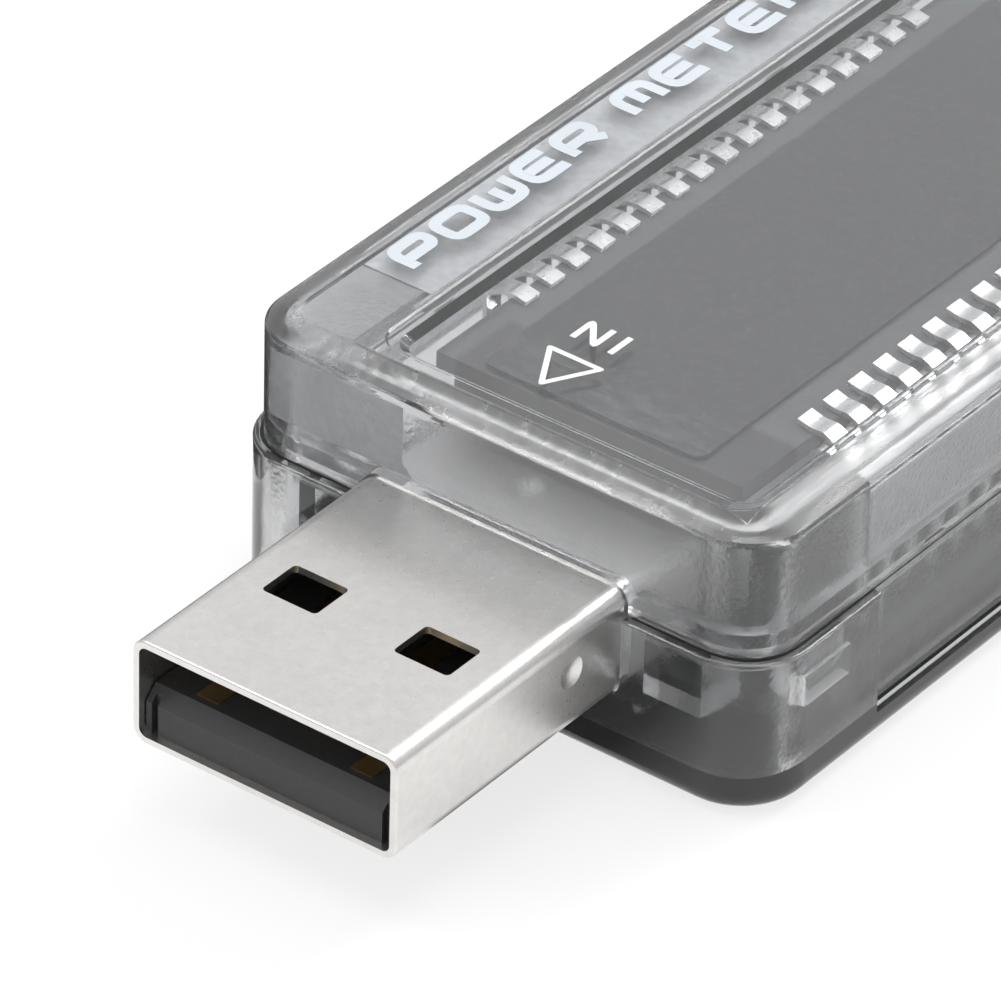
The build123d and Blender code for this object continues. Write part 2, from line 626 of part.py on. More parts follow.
def main_board():
    """Circuit board with a narrow nose under the plug and all its holes."""
    board = block(
        span(BOARD_HALF_WIDTH), (BOARD_FRONT_Y, BOARD_REAR_Y), (BOARD_BOTTOM_Z, BOARD_TOP_Z)
    )
    board = fillet(board.edges().filter_by(Axis.Z), 0.8)
    board += block(
        span(BOARD_NOSE_HALF_WIDTH), (BOARD_NOSE_Y, BOARD_FRONT_Y + 1), (BOARD_BOTTOM_Z, BOARD_TOP_Z)
    )
    middle = (BOARD_BOTTOM_Z + BOARD_TOP_Z) / 2
    for x, y, radius in tail_holes():
        board -= Pos(x, y, middle) * Cylinder(radius, 2 * BOARD_THICKNESS)
    for leg in plug_leg_slots(0.08) + socket_leg_slots(0.08):
        board -= leg
    return board


def solder_joints():
    """Fillets of solder under the board around every pin tail."""
    joints = []
    height = BOARD_BOTTOM_Z - PIN_TAIL_Z - 0.1
    for x, y, radius in tail_holes():
        cone = Pos(x, y, BOARD_BOTTOM_Z - height / 2) * Cone(radius * 0.75, radius * 1.6, height)
        tail = block(around(x, 0.5 * radius), around(y, radius), (0, BOARD_TOP_Z))
        joints.append((cone, tail))
    metal = [lcd_pins(-1), lcd_pins(1), plug_contacts(), socket_contacts()]
    cones = Compound([cone.solid() for cone, tail in joints])
    for piece in metal:
        cones = cones - piece
    return cones


def leaded_package(x, y, size, height, stand, lead_count, lead_pitch, lead_width):
    """Moulded package and its two rows of gull-wing leads on the board top."""
    z = BOARD_TOP_Z
    body = block(around(x, size[0]), around(y, size[1]), (z + stand, z + height))
    body = chamfer(body.edges().group_by(Axis.Z)[-1], 0.12)
    leads = []
    first = y - lead_pitch * (lead_count - 1) / 2
    for side in (-1, 1):
        edge = x + side * size[0] / 2
        knee = z + (stand + height) / 2
        outline = [
            (edge, knee), (edge + side * 0.35, knee), (edge + side * 0.5, z + 0.15),
            (edge + side * 1.0, z + 0.15), (edge + side * 1.0, z), (edge + side * 0.4, z),
            (edge + side * 0.25, knee - 0.15), (edge, knee - 0.15),
        ]
        for n in range(lead_count):
            leads.append(profile_along_y(outline, around(first + n * lead_pitch, lead_width)))
    return body, group(leads)


def chip_row(stations, size, cap_length):
    """Two-terminal chips: their bodies and the metal caps at both ends."""
    bodies = []
    caps = []
    for x, y, along_y in stations:
        length, width, height = size
        half = length / 2 - cap_length
        z = (BOARD_TOP_Z, BOARD_TOP_Z + height)
        for low, high, bucket in ((-half, half, bodies), (-length / 2, -half, caps), (half, length / 2, caps)):
            lengthwise = (low, high)
            if along_y:
                bucket.append(block(around(x, width), (y + lengthwise[0], y + lengthwise[1]), z))
            else:
                bucket.append(block((x + lengthwise[0], x + lengthwise[1]), around(y, width), z))
    return group(bodies), group(caps)


def current_shunt():
    """Bridge-shaped metal shunt on the board."""
    x_mid, y_mid = 4.2, -6.0
    z = BOARD_TOP_Z
    feet = block(around(x_mid, 6.0), around(y_mid, 3.0), (z, z + 0.9))
    return feet - block(around(x_mid, 3.4), around(y_mid, 4.0), (z - 1, z + 0.4))


def bulk_capacitor():
    """Moulded capacitor block near the socket."""
    body = block(around(1.2, 5.0), around(15.5, 3.2), (BOARD_TOP_Z, BOARD_TOP_Z + 2.6))
    return chamfer(body.edges().group_by(Axis.Z)[-1], 0.3)


def crystal_can():
    """Low oval can of the timing crystal."""
    return rounded_prism(around(-4.6, 3.2), around(-7.4, 6.6), 1.5, (BOARD_TOP_Z, BOARD_TOP_Z + 2.4))


def indicator_led():
    """Small status lamp beside the socket."""
    body = block(around(-8.6, 1.2), around(17.0, 2.0), (BOARD_TOP_Z, BOARD_TOP_Z + 0.5))
    return body + block(around(-8.6, 1.0), around(17.0, 1.2), (BOARD_TOP_Z + 0.5, BOARD_TOP_Z + 1.1))


def switch_x():
    """X range of the switch body."""
    return (SWITCH_REAR_X, SWITCH_REAR_X + SWITCH_DEPTH)


def plunger_x():
    """X range of the plunger at rest, from inside the switch to the button."""
    button_rear = LOWER_WIDTH / 2 - LOWER_WALL - BUTTON_INNER_GAP - BUTTON_FLANGE_DEPTH
    return (switch_x()[1] + SWITCH_COVER - PLUNGER_ENTRY, button_rear)


def switch_body():
    """Side-acting switch housing with a well for its plunger."""
    x = switch_x()
    body = block(x, around(BUTTON_Y, SWITCH_LENGTH), (BOARD_TOP_Z, BOARD_TOP_Z + SWITCH_HEIGHT))
    well = block(
        (plunger_x()[0] - PLUNGER_TRAVEL_ROOM, x[1] + 1),
        around(BUTTON_Y, PLUNGER_LENGTH + 2 * PLUNGER_CLEARANCE),
        around(BUTTON_Z, PLUNGER_HEIGHT + 2 * PLUNGER_CLEARANCE),
    )
    return body - well


def switch_cover():
    """Steel plate that closes the switch around its plunger."""
    x = (switch_x()[1], switch_x()[1] + SWITCH_COVER)
    plate = block(x, around(BUTTON_Y, SWITCH_LENGTH), (BOARD_TOP_Z, BOARD_TOP_Z + SWITCH_HEIGHT))
    hole = block(
        (x[0] - 1, x[1] + 1),
        around(BUTTON_Y, PLUNGER_LENGTH + 2 * PLUNGER_CLEARANCE),
        around(BUTTON_Z, PLUNGER_HEIGHT + 2 * PLUNGER_CLEARANCE),
    )
    return plate - hole


def switch_leads():
    """Four flat solder leads of the switch."""
    leads = []
    for side in (-1, 1):
        for offset in (0.5, 1.9):
            y = sorted((
                BUTTON_Y + side * SWITCH_LENGTH / 2, BUTTON_Y + side * (SWITCH_LENGTH / 2 + 0.6)
            ))
            leads.append(block(around(SWITCH_REAR_X + offset, 0.5), y, (BOARD_TOP_Z, BOARD_TOP_Z + 0.2)))
    return group(leads)


def switch_plunger():
    """Stem between the switch and the button cap."""
    return block(plunger_x(), around(BUTTON_Y, PLUNGER_LENGTH), around(BUTTON_Z, PLUNGER_HEIGHT))


def button_cap():
    """Button through the side wall, kept in by a wider inner flange."""
    rear = plunger_x()[1]
    face = LOWER_WIDTH / 2
    stem = rounded_pad_along_x(
        BUTTON_Y, BUTTON_Z, BUTTON_LENGTH, BUTTON_HEIGHT, BUTTON_CORNER_R - BUTTON_CLEARANCE,
        (rear, face),
    )
    stem = fillet(stem.edges().group_by(Axis.X)[-1], 0.15)
    flange = rounded_pad_along_x(
        BUTTON_Y, BUTTON_Z, BUTTON_LENGTH + 2 * BUTTON_FLANGE, BUTTON_HEIGHT + 2 * BUTTON_FLANGE,
        BUTTON_CORNER_R, (rear, rear + BUTTON_FLANGE_DEPTH),
    )
    return stem + flange


def write(name, shape):
    """Save one node."""
    export_step(shape, f"parts/{name}.step")


def main():
    """Build every node and write it."""
    os.makedirs("parts", exist_ok=True)
    mcu_body, mcu_leads = leaded_package(-1.2, 2.5, (4.4, 6.5), 1.2, 0.1, 10, 0.65, 0.25)
    memory_body, memory_leads = leaded_package(5.2, 2.0, (3.9, 4.9), 1.5, 0.1, 4, 1.27, 0.4)
    regulator_body, regulator_leads = leaded_package(-2.6, 12.6, (1.6, 2.9), 1.1, 0.1, 3, 0.95, 0.4)
    resistor_bodies, resistor_caps = chip_row(
        [(-5.6, -3.0 + 1.4 * n, False) for n in range(6)] + [(0.6 + 1.3 * n, 9.0, True) for n in range(4)],
        (1.6, 0.8, 0.45), 0.3,
    )
    capacitor_bodies, capacitor_caps = chip_row(
        [(-5.4, 7.4, False), (-5.4, 9.2, False), (1.2, 12.3, True), (3.0, 12.3, True), (-1.2, -3.6, False)],
        (2.0, 1.25, 0.8), 0.4,
    )
    nodes = {
        "top_cover": top_cover(),
        "bottom_cover": bottom_cover(),
        "main_board": main_board(),
        "solder_joints": solder_joints(),
        "lcd_front_glass": front_glass(),
        "lcd_rear_glass": rear_glass(),
        "lcd_front_polariser": front_polariser(),
        "lcd_rear_polariser": rear_polariser(),
        "backlight_guide": light_guide(),
        "backlight_diffuser": diffuser(),
        "display_posts": display_posts(),
        "lcd_pins_left": lcd_pins(-1),
        "lcd_pins_right": lcd_pins(1),
        "plug_shell": plug_shell(),
        "plug_insulator": plug_insulator(),
        "plug_contacts": plug_contacts(),
        "socket_shell": socket_shell(),
        "socket_insulator": socket_insulator(),
        "socket_contacts": socket_contacts(),
        "mcu_body": mcu_body,
        "mcu_leads": mcu_leads,
        "memory_body": memory_body,
        "memory_leads": memory_leads,
        "regulator_body": regulator_body,
        "regulator_leads": regulator_leads,
        "resistor_bodies": resistor_bodies,
        "resistor_caps": resistor_caps,
        "capacitor_bodies": capacitor_bodies,
        "capacitor_caps": capacitor_caps,
        "current_shunt": current_shunt(),
        "bulk_capacitor": bulk_capacitor(),
        "crystal_can": crystal_can(),
        "indicator_led": indicator_led(),
        "switch_body": switch_body(),
        "switch_cover": switch_cover(),
        "switch_leads": switch_leads(),
        "switch_plunger": switch_plunger(),
        "button_cap": button_cap(),
    }
    for name, shape in nodes.items():
        write(name, shape)


main()
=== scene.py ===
"""Looks of a clear-cased inline USB power meter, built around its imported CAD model."""

import json
import logging
import math
from collections.abc import Callable
from dataclasses import dataclass, field
from enum import Enum

import bmesh
import bpy
from mathutils import Matrix, Vector

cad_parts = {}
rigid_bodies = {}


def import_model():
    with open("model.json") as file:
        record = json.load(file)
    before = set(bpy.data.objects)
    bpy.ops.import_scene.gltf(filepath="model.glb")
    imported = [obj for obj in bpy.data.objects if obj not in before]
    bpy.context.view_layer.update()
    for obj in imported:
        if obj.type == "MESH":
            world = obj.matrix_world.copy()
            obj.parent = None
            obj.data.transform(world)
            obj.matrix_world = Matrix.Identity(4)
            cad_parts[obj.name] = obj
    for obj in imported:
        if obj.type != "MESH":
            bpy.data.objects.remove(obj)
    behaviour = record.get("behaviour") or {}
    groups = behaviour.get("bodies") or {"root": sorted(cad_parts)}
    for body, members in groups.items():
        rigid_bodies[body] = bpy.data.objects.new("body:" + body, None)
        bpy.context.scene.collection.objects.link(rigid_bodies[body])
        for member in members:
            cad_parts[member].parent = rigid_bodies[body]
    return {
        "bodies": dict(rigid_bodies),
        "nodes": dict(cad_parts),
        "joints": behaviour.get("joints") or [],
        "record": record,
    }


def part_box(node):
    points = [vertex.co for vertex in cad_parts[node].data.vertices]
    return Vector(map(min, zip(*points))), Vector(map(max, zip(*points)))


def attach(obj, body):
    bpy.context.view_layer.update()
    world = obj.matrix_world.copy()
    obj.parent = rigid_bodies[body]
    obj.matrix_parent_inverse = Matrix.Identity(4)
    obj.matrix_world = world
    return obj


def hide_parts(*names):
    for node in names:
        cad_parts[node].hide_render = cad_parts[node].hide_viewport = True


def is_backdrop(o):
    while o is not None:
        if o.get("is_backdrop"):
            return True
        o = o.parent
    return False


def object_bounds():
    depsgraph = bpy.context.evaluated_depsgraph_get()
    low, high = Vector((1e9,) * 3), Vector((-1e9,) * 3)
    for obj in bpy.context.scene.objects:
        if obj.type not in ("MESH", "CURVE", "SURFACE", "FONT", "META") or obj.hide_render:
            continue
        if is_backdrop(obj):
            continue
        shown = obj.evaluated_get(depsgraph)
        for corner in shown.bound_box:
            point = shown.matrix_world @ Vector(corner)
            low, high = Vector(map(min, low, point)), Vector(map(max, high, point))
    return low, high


log = logging.getLogger("power_meter")

MM = 0.001
WHITE = (1.0, 1.0, 1.0, 1.0)
Colour = tuple[float, float, float]
Point = tuple[float, float]
# noise scale per metre, then the lowest and the highest value put out
Grain = tuple[float, float, float]
# lowest corner, highest corner and width of the soft edge, in millimetres
Zone = tuple[Colour, Colour, float]
Place = Callable[[float, float, float], Colour]
BMesh = bmesh.types.BMesh
Material = bpy.types.Material
Node = bpy.types.Node
Paints = dict[str, Material]
Socket = bpy.types.NodeSocket
Tree = bpy.types.NodeTree

# strokes of each letter in a box one wide and one high, as runs of corners
GLYPHS: dict[str, list[list[Point]]] = {
    "P": [[(0, 0), (0, 1), (1, 1), (1, 0.42), (0, 0.42)]],
    "O": [[(0.5, 0), (1, 0), (1, 1), (0, 1), (0, 0), (0.5, 0)]],
    "W": [[(0, 1), (0, 0), (1, 0), (1, 1)], [(0.5, 0), (0.5, 0.8)]],
    "E": [[(1, 1), (0, 1), (0, 0), (1, 0)], [(0.1, 0.5), (0.9, 0.5)]],
    "R": [[(0, 0), (0, 1), (1, 1), (1, 0.42), (0.1, 0.42)], [(0.55, 0.42), (1, 0)]],
    "M": [[(0, 0), (0, 1), (1, 1), (1, 0)], [(0.5, 1), (0.5, 0.2)]],
    "T": [[(0, 1), (1, 1)], [(0.5, 1), (0.5, 0)]],
    "I": [[(0.5, 0), (0.5, 1)]],
    "N": [[(0, 0), (0, 1), (1, 0), (1, 1)]],
    "U": [[(0, 1), (0, 0), (1, 0), (1, 1)]],
}


class Heading(Enum):
    """Turn of a printed mark on the roof, from +X to its reading direction."""

    ALONG = math.radians(90)
    TO_PLUG = math.radians(180)
    TO_SOCKET = 0.0


class Side(Enum):
    """Which long side of the case a piece belongs to."""

    LEFT = -1
    RIGHT = 1


def new_material(name: str, values: dict[str, object]) -> tuple[Material, Node, Tree]:
    """Make a node material with one Principled shader.

    Args:
        name: The material's name.
        values: The shader's plain values, by input.

    Returns:
        The material, its Principled node and its node tree.
    """
    material = bpy.data.materials.new(name)
    material.use_nodes = True
    tree = material.node_tree
    shader = tree.nodes["Principled BSDF"]
    for label, value in values.items():
        shader.inputs[label].default_value = value
    return material, shader, tree


def paint(piece: bpy.types.Object, material: Material) -> None:
    """Give a piece one material.

    Args:
        piece: The object to dress.
        material: The material that it gets in every slot.
    """
    slots = piece.data.materials
    if not slots:
        slots.append(material)
    for index in range(len(slots)):
        slots[index] = material


def maths(tree: Tree, operation: str, first: object, second: object = 0.0) -> Socket:
    """Add one Math node.

    Args:
        tree: The node tree.
        operation: What the node does.
        first: A socket or a number.
        second: A socket or a number.

    Returns:
        The node's output.
    """
    node = tree.nodes.new("ShaderNodeMath")
    node.operation = operation
    for socket, value in zip(node.inputs, (first, second)):
        if isinstance(value, Socket):
            tree.links.new(value, socket)
        else:
            socket.default_value = value
    return node.outputs[0]


def blend(tree: Tree, first: Socket, second: Socket, mask: Socket) -> Socket:
    """Blend two values: the first where the mask is zero, the second where it is one."""
    extra = maths(tree, "SUBTRACT", second, first)
    return maths(tree, "ADD", maths(tree, "MULTIPLY", extra, mask), first)


def scale_colour(tree: Tree, colour: object, factor: Socket) -> Socket:
    """Multiply a colour, given plainly or by its socket, by a value."""
    node = tree.nodes.new("ShaderNodeVectorMath")
    node.operation = "SCALE"
    if isinstance(colour, Socket):
        tree.links.new(colour, node.inputs[0])
    else:
        node.inputs[0].default_value = colour
    tree.links.new(factor, node.inputs["Scale"])
    return node.outputs["Vector"]


def mix_colours(tree: Tree, first: Colour, second: Colour, mask: Socket) -> Socket:
    """Mix two colours: the first where the mask is zero, the second where it is one."""
    node = tree.nodes.new("ShaderNodeMix")
    node.data_type = "RGBA"
    node.inputs["A"].default_value = (*first, 1.0)
    node.inputs["B"].default_value = (*second, 1.0)
    tree.links.new(mask, node.inputs["Factor"])
    return node.outputs["Result"]


def emboss(tree: Tree, height: Socket, strength: float, depth: float) -> None:
    """Press a height, whose real depth is given in metres, into the shader's normal."""
    bump = tree.nodes.new("ShaderNodeBump")
    bump.inputs["Strength"].default_value = strength
    bump.inputs["Distance"].default_value = depth
    tree.links.new(height, bump.inputs["Height"])
    tree.links.new(bump.outputs["Normal"], tree.nodes["Principled BSDF"].inputs["Normal"])


def start_group(
    name: str, kind: str, inputs: dict[str, str], outputs: dict[str, str]
) -> tuple[Tree, Node, Node]:
    """Start a node group with its sockets.

    Args:
        name: The group's name.
        kind: Its type of tree.
        inputs: The sort of each input, by label.
        outputs: The sort of each output, by label.

    Returns:
        The group, and its nodes for what goes in and what comes out.
    """
    tree = bpy.data.node_groups.new(name, kind)
    for way, sockets in (("INPUT", inputs), ("OUTPUT", outputs)):
        for label, sort in sockets.items():
            tree.interface.new_socket(label, in_out=way, socket_type=f"NodeSocket{sort}")
    return tree, tree.nodes.new("NodeGroupInput"), tree.nodes.new("NodeGroupOutput")


def in_metres(x: float, y: float, z: float) -> Colour:
    """Turn a point in millimetres into metres."""
    return (x * MM, y * MM, z * MM)


def rectangle(x: Point, y: Point) -> list[Point]:
    """Go round the corners of a rectangle, given where it starts and ends each way."""
    return [(x[0], y[0]), (x[1], y[0]), (x[1], y[1]), (x[0], y[1])]


def skin(bm: BMesh, rings: list[list], capped: bool = True) -> None:
    """Lay faces between rings that have the same number of corners.

    Args:
        bm: The mesh.
        rings: The rings' vertices, one ring after another.
        capped: Whether the first and the last ring are filled.
    """
    for here, there in zip(rings, rings[1:]):
        for k in range(len(here)):
            n = (k + 1) % len(here)
            bm.faces.new((here[k], here[n], there[n], there[k]))
    if capped:
        bm.faces.new(rings[0][::-1])
        bm.faces.new(rings[-1])


def lay_flat(name: str, x: Point, y: Point, z: float) -> bpy.types.Object:
    """Lay a flat rectangle that belongs to the room, with its edges and height in metres."""
    mesh = bpy.data.meshes.new(name)
    mesh.from_pydata([(*corner, 0) for corner in rectangle(x, y)], [], [(0, 1, 2, 3)])
    sheet = bpy.data.objects.new(name, mesh)
    sheet.location.z = z
    bpy.context.collection.objects.link(sheet)
    return sheet


@dataclass(frozen=True)
class SurfaceWear:
    """Shared node group: fine handling marks as masks that vary over a surface."""

    name: str = "surface_wear"

    def group(self) -> Tree:
        """Build the group once, or find it.

        Returns:
            The node group, with a value and a height output.
        """
        found = bpy.data.node_groups.get(self.name)
        if found:
            return found
        inputs = dict.fromkeys(("Scale", "Low", "High", "Contrast"), "Float")
        inputs["Stretch"] = "Vector"
        outputs = {"Value": "Float", "Height": "Float"}
        tree, source, sink = start_group(self.name, "ShaderNodeTree", inputs, outputs)
        coords = tree.nodes.new("ShaderNodeTexCoord")
        mapping = tree.nodes.new("ShaderNodeMapping")
        noise = tree.nodes.new("ShaderNodeTexNoise")
        noise.inputs["Detail"].default_value = 4.0
        ranged = tree.nodes.new("ShaderNodeMapRange")
        link = tree.links.new
        link(coords.outputs["Object"], mapping.inputs["Vector"])
        link(source.outputs["Stretch"], mapping.inputs["Scale"])
        link(mapping.outputs["Vector"], noise.inputs["Vector"])
        link(source.outputs["Scale"], noise.inputs["Scale"])
        link(noise.outputs["Fac"], ranged.inputs["Value"])
        for operation, end in (("SUBTRACT", "From Min"), ("ADD", "From Max")):
            bound = maths(tree, operation, 0.5, source.outputs["Contrast"])
            link(bound, ranged.inputs[end])
        link(source.outputs["Low"], ranged.inputs["To Min"])
        link(source.outputs["High"], ranged.inputs["To Max"])
        link(ranged.outputs["Result"], sink.inputs["Value"])
        link(noise.outputs["Fac"], sink.inputs["Height"])
        return tree

    def place(
        self,
        tree: Tree,
        grain: Grain,
        stretch: Colour = (1.0, 1.0, 1.0),
        contrast: float = 0.2,
    ) -> tuple[Socket, Socket]:
        """Put the group into a material with its own values.

        Args:
            tree: The material's node tree.
            grain: How fine the marks are, and their values.
            stretch: Scale of each axis, to draw the marks out.
            contrast: Half the band of noise that is spread over the values.

        Returns:
            Its value and its height.
        """
        node = tree.nodes.new("ShaderNodeGroup")
        node.node_tree = self.group()
        labels = ("Scale", "Low", "High", "Stretch", "Contrast")
        for label, value in zip(labels, (*grain, stretch, contrast)):
            node.inputs[label].default_value = value
        return node.outputs["Value"], node.outputs["Height"]


@dataclass(frozen=True)
class ZoneMask:
    """Shared node group: one inside a box in the part's frame, fading over its edge."""

    name: str = "zone_mask"

    def group(self) -> Tree:
        """Build the group once, or find it.

        Returns:
            The node group, with a mask output.
        """
        found = bpy.data.node_groups.get(self.name)
        if found:
            return found
        inputs = {"Middle": "Vector", "Half Size": "Vector", "Fade": "Float"}
        outputs = {"Mask": "Float"}
        tree, source, sink = start_group(self.name, "ShaderNodeTree", inputs, outputs)
        coords = tree.nodes.new("ShaderNodeTexCoord")
        link = tree.links.new
        last = coords.outputs["Object"]
        steps = (("SUBTRACT", "Middle"), ("ABSOLUTE", ""), ("SUBTRACT", "Half Size"))
        for operation, label in steps:
            step = tree.nodes.new("ShaderNodeVectorMath")
            step.operation = operation
            link(last, step.inputs[0])
            if label:
                link(source.outputs[label], step.inputs[1])
            last = step.outputs["Vector"]
        split = tree.nodes.new("ShaderNodeSeparateXYZ")
        link(last, split.inputs["Vector"])
        far = maths(tree, "MAXIMUM", split.outputs["X"], split.outputs["Y"])
        far = maths(tree, "MAXIMUM", far, split.outputs["Z"])
        ranged = tree.nodes.new("ShaderNodeMapRange")
        link(far, ranged.inputs["Value"])
        link(maths(tree, "MULTIPLY", source.outputs["Fade"], -1.0), ranged.inputs["From Min"])
        for label, value in (("From Max", 0.0), ("To Min", 1.0), ("To Max", 0.0)):
            ranged.inputs[label].default_value = value
        link(ranged.outputs["Result"], sink.inputs["Mask"])
        return tree

    def place(self, tree: Tree, zone: Zone) -> Socket:
        """Put the group into a material for one box.

        Args:
            tree: The material's node tree.
            zone: The box and its soft edge.

        Returns:
            The mask.
        """
        low, high, fade = zone
        node = tree.nodes.new("ShaderNodeGroup")
        node.node_tree = self.group()
        node.inputs["Middle"].default_value = [(a + b) / 2 * MM for a, b in zip(low, high)]
        node.inputs["Half Size"].default_value = [(b - a) / 2 * MM for a, b in zip(low, high)]
        node.inputs["Fade"].default_value = fade * MM
        return node.outputs["Mask"]


@dataclass(frozen=True)
class SmokedPlastic:
    """Clear smoked moulding: polished roof, satin bevels, textured inner walls, real tint."""

    name: str = "smoked_clear_plastic"
    surface: Colour = (0.93, 0.94, 0.955)
    ior: float = 1.5
    haze: float = 0.03
    density: float = 60.0
    tint: Colour = (0.03, 0.02, 0.0)
    polished: Grain = (900.0, 0.02, 0.06)
    textured: Grain = (5200.0, 0.16, 0.26)
    satin: Grain = (2600.0, 0.24, 0.42)
    brushed: Colour = (1.0, 0.12, 1.0)
    flow: Grain = (160.0, 0.0, 1.0)
    drawn: Colour = (1.0, 0.4, 1.0)
    inner: Zone = ((-11.5, -19.6, -1.0), (11.5, 32.6, 10.9), 0.2)
    patch: Zone = ((-11.4, -21.0, 10.0), (-7.0, -15.3, 11.7), 0.3)
    frost: Zone = ((4.6, -21.0, 7.2), (11.0, -15.3, 11.3), 0.6)
    crown: Zone = ((-12.5, -21.0, 11.62), (12.5, 34.0, 12.6), 0.05)
    roof: Zone = ((-10.45, -19.05, 11.0), (10.45, 32.05, 13.0), 0.05)
    streak_height: float = 1.6
    flow_height: float = 0.4
    depth: float = 0.00004

    def build(self) -> Material:
        """Make the material, with absorption through its thickness."""
        values = {"Base Color": (*self.surface, 1.0), "IOR": self.ior}
        values["Transmission Weight"] = 1.0 - self.haze
        material, shader, tree = new_material(self.name, values)
        link = tree.links.new
        rough, _ = SurfaceWear().place(tree, self.polished)
        grain, grain_height = SurfaceWear().place(tree, self.textured)
        brush, brush_height = SurfaceWear().place(tree, self.satin, self.brushed)
        zones = (self.inner, self.patch, self.frost, self.crown, self.roof)
        walls, patch, frost, crown, roof = (ZoneMask().place(tree, zone) for zone in zones)
        mask = maths(tree, "MAXIMUM", maths(tree, "MAXIMUM", walls, patch), frost)
        bevel = maths(tree, "MULTIPLY", crown, maths(tree, "SUBTRACT", 1.0, roof))
        for wear, zone in ((grain, mask), (brush, bevel)):
            rough = blend(tree, rough, wear, zone)
        link(rough, shader.inputs["Roughness"])
        fine = maths(tree, "MULTIPLY", grain_height, mask)
        streak = maths(tree, "MULTIPLY", brush_height, bevel)
        streak = maths(tree, "MULTIPLY", streak, self.streak_height)
        _, flow = SurfaceWear().place(tree, self.flow, self.drawn)
        waves = maths(tree, "MULTIPLY", flow, self.flow_height)
        height = maths(tree, "ADD", maths(tree, "ADD", fine, streak), waves)
        emboss(tree, height, 0.5, self.depth)
        volume = tree.nodes.new("ShaderNodeVolumeAbsorption")
        volume.inputs["Color"].default_value = (*self.tint, 1.0)
        volume.inputs["Density"].default_value = self.density
        link(volume.outputs["Volume"], tree.nodes["Material Output"].inputs["Volume"])
        return material


@dataclass(frozen=True)
class FrostedTexture:
    """Fine ground texture moulded on an inner face, which scatters most of the light."""

    name: str = "frosted_texture"
    colour: Colour = (0.93, 0.945, 0.965)
    clear: float = 0.12
    ior: float = 1.5
    grain: Grain = (5200.0, 0.4, 0.6)
    tone: Grain = (2600.0, 0.86, 1.05)
    depth: float = 0.00002

    def build(self) -> Material:
        """Make the texture, with its grain in tone, roughness and bump."""
        values = {"Transmission Weight": self.clear, "IOR": self.ior}
        material, shader, tree = new_material(self.name, values)
        link = tree.links.new
        rough, height = SurfaceWear().place(tree, self.grain)
        link(rough, shader.inputs["Roughness"])
        tone, _ = SurfaceWear().place(tree, self.tone)
        link(scale_colour(tree, self.colour, tone), shader.inputs["Base Color"])
        emboss(tree, height, 0.5, self.depth)
        return material


@dataclass(frozen=True)
class Solid:
    """Opaque finish with a slow change of tone and a fine grain."""

    name: str
    colour: Colour
    rough: float
    metallic: float = 0.0
    coat: float = 0.0
    grain: float = 0.15
    grain_scale: float = 9000.0
    depth: float = 0.000004
    spread: float = 0.05
    tone: float = 0.04
    tone_scale: float = 300.0
    shade: float = 1.0
    shade_zone: Zone | None = None

    def build(self) -> Material:
        """Make the material with its grain in roughness, colour and bump."""
        values = {"Metallic": self.metallic, "Coat Weight": self.coat, "Coat Roughness": 0.08}
        material, shader, tree = new_material(self.name, values)
        link = tree.links.new
        grain = (self.grain_scale, self.rough - self.spread, self.rough + self.spread)
        rough, height = SurfaceWear().place(tree, grain)
        link(rough, shader.inputs["Roughness"])
        grain = (self.tone_scale, 1.0 - self.tone, 1.0 + self.tone)
        tone, _ = SurfaceWear().place(tree, grain)
        if self.shade_zone:
            zone = ZoneMask().place(tree, self.shade_zone)
            dim = maths(tree, "ADD", maths(tree, "MULTIPLY", zone, self.shade - 1.0), 1.0)
            tone = maths(tree, "MULTIPLY", tone, dim)
        link(scale_colour(tree, self.colour, tone), shader.inputs["Base Color"])
        emboss(tree, height, self.grain, self.depth)
        return material


@dataclass(frozen=True)
class NickelPlate:
    """Satin nickel, smooth where it is handled; inside the case it is rougher, less metallic and
    painted lighter, a painted light that brightens the metal seen through the plastic.
    """

    name: str = "nickel_shell"
    colour: Colour = (0.78, 0.765, 0.745)
    # painted light: the lighter colour that the metal is given inside the case
    painted_light_colour: Colour = (0.95, 0.94, 0.925)
    rough: Grain = (7000.0, 0.27, 0.33)
    sheltered_rough: Grain = (7000.0, 0.42, 0.5)
    mottle: Grain = (2400.0, 0.95, 1.03)
    cloud: Grain = (260.0, 0.97, 1.02)
    dullness: float = 0.45
    zone: Zone = ((-8.0, -19.9, 0.0), (8.0, 19.0, 12.0), 0.5)
    depth: float = 0.000005

    def build(self) -> Material:
        """Make the plating with a fine mottle, faint warm stains and a soft grain."""
        material, shader, tree = new_material(self.name, {})
        link = tree.links.new
        outside, _ = SurfaceWear().place(tree, self.rough)
        inside, _ = SurfaceWear().place(tree, self.sheltered_rough)
        zone = ZoneMask().place(tree, self.zone)
        dull = maths(tree, "MULTIPLY", zone, -self.dullness)
        link(maths(tree, "ADD", dull, 1.0), shader.inputs["Metallic"])
        link(blend(tree, outside, inside, zone), shader.inputs["Roughness"])
        mottle, height = SurfaceWear().place(tree, self.mottle)
        cloud, _ = SurfaceWear().place(tree, self.cloud)
        tone = maths(tree, "MULTIPLY", mottle, cloud)
        # painted light: inside the case the plating's colour is mixed towards a lighter grey, made
        # less metallic so that it shows
        plating_and_painted_light = mix_colours(tree, self.colour, self.painted_light_colour, zone)
        link(scale_colour(tree, plating_and_painted_light, tone), shader.inputs["Base Color"])
        emboss(tree, height, 0.25, self.depth)
        return material


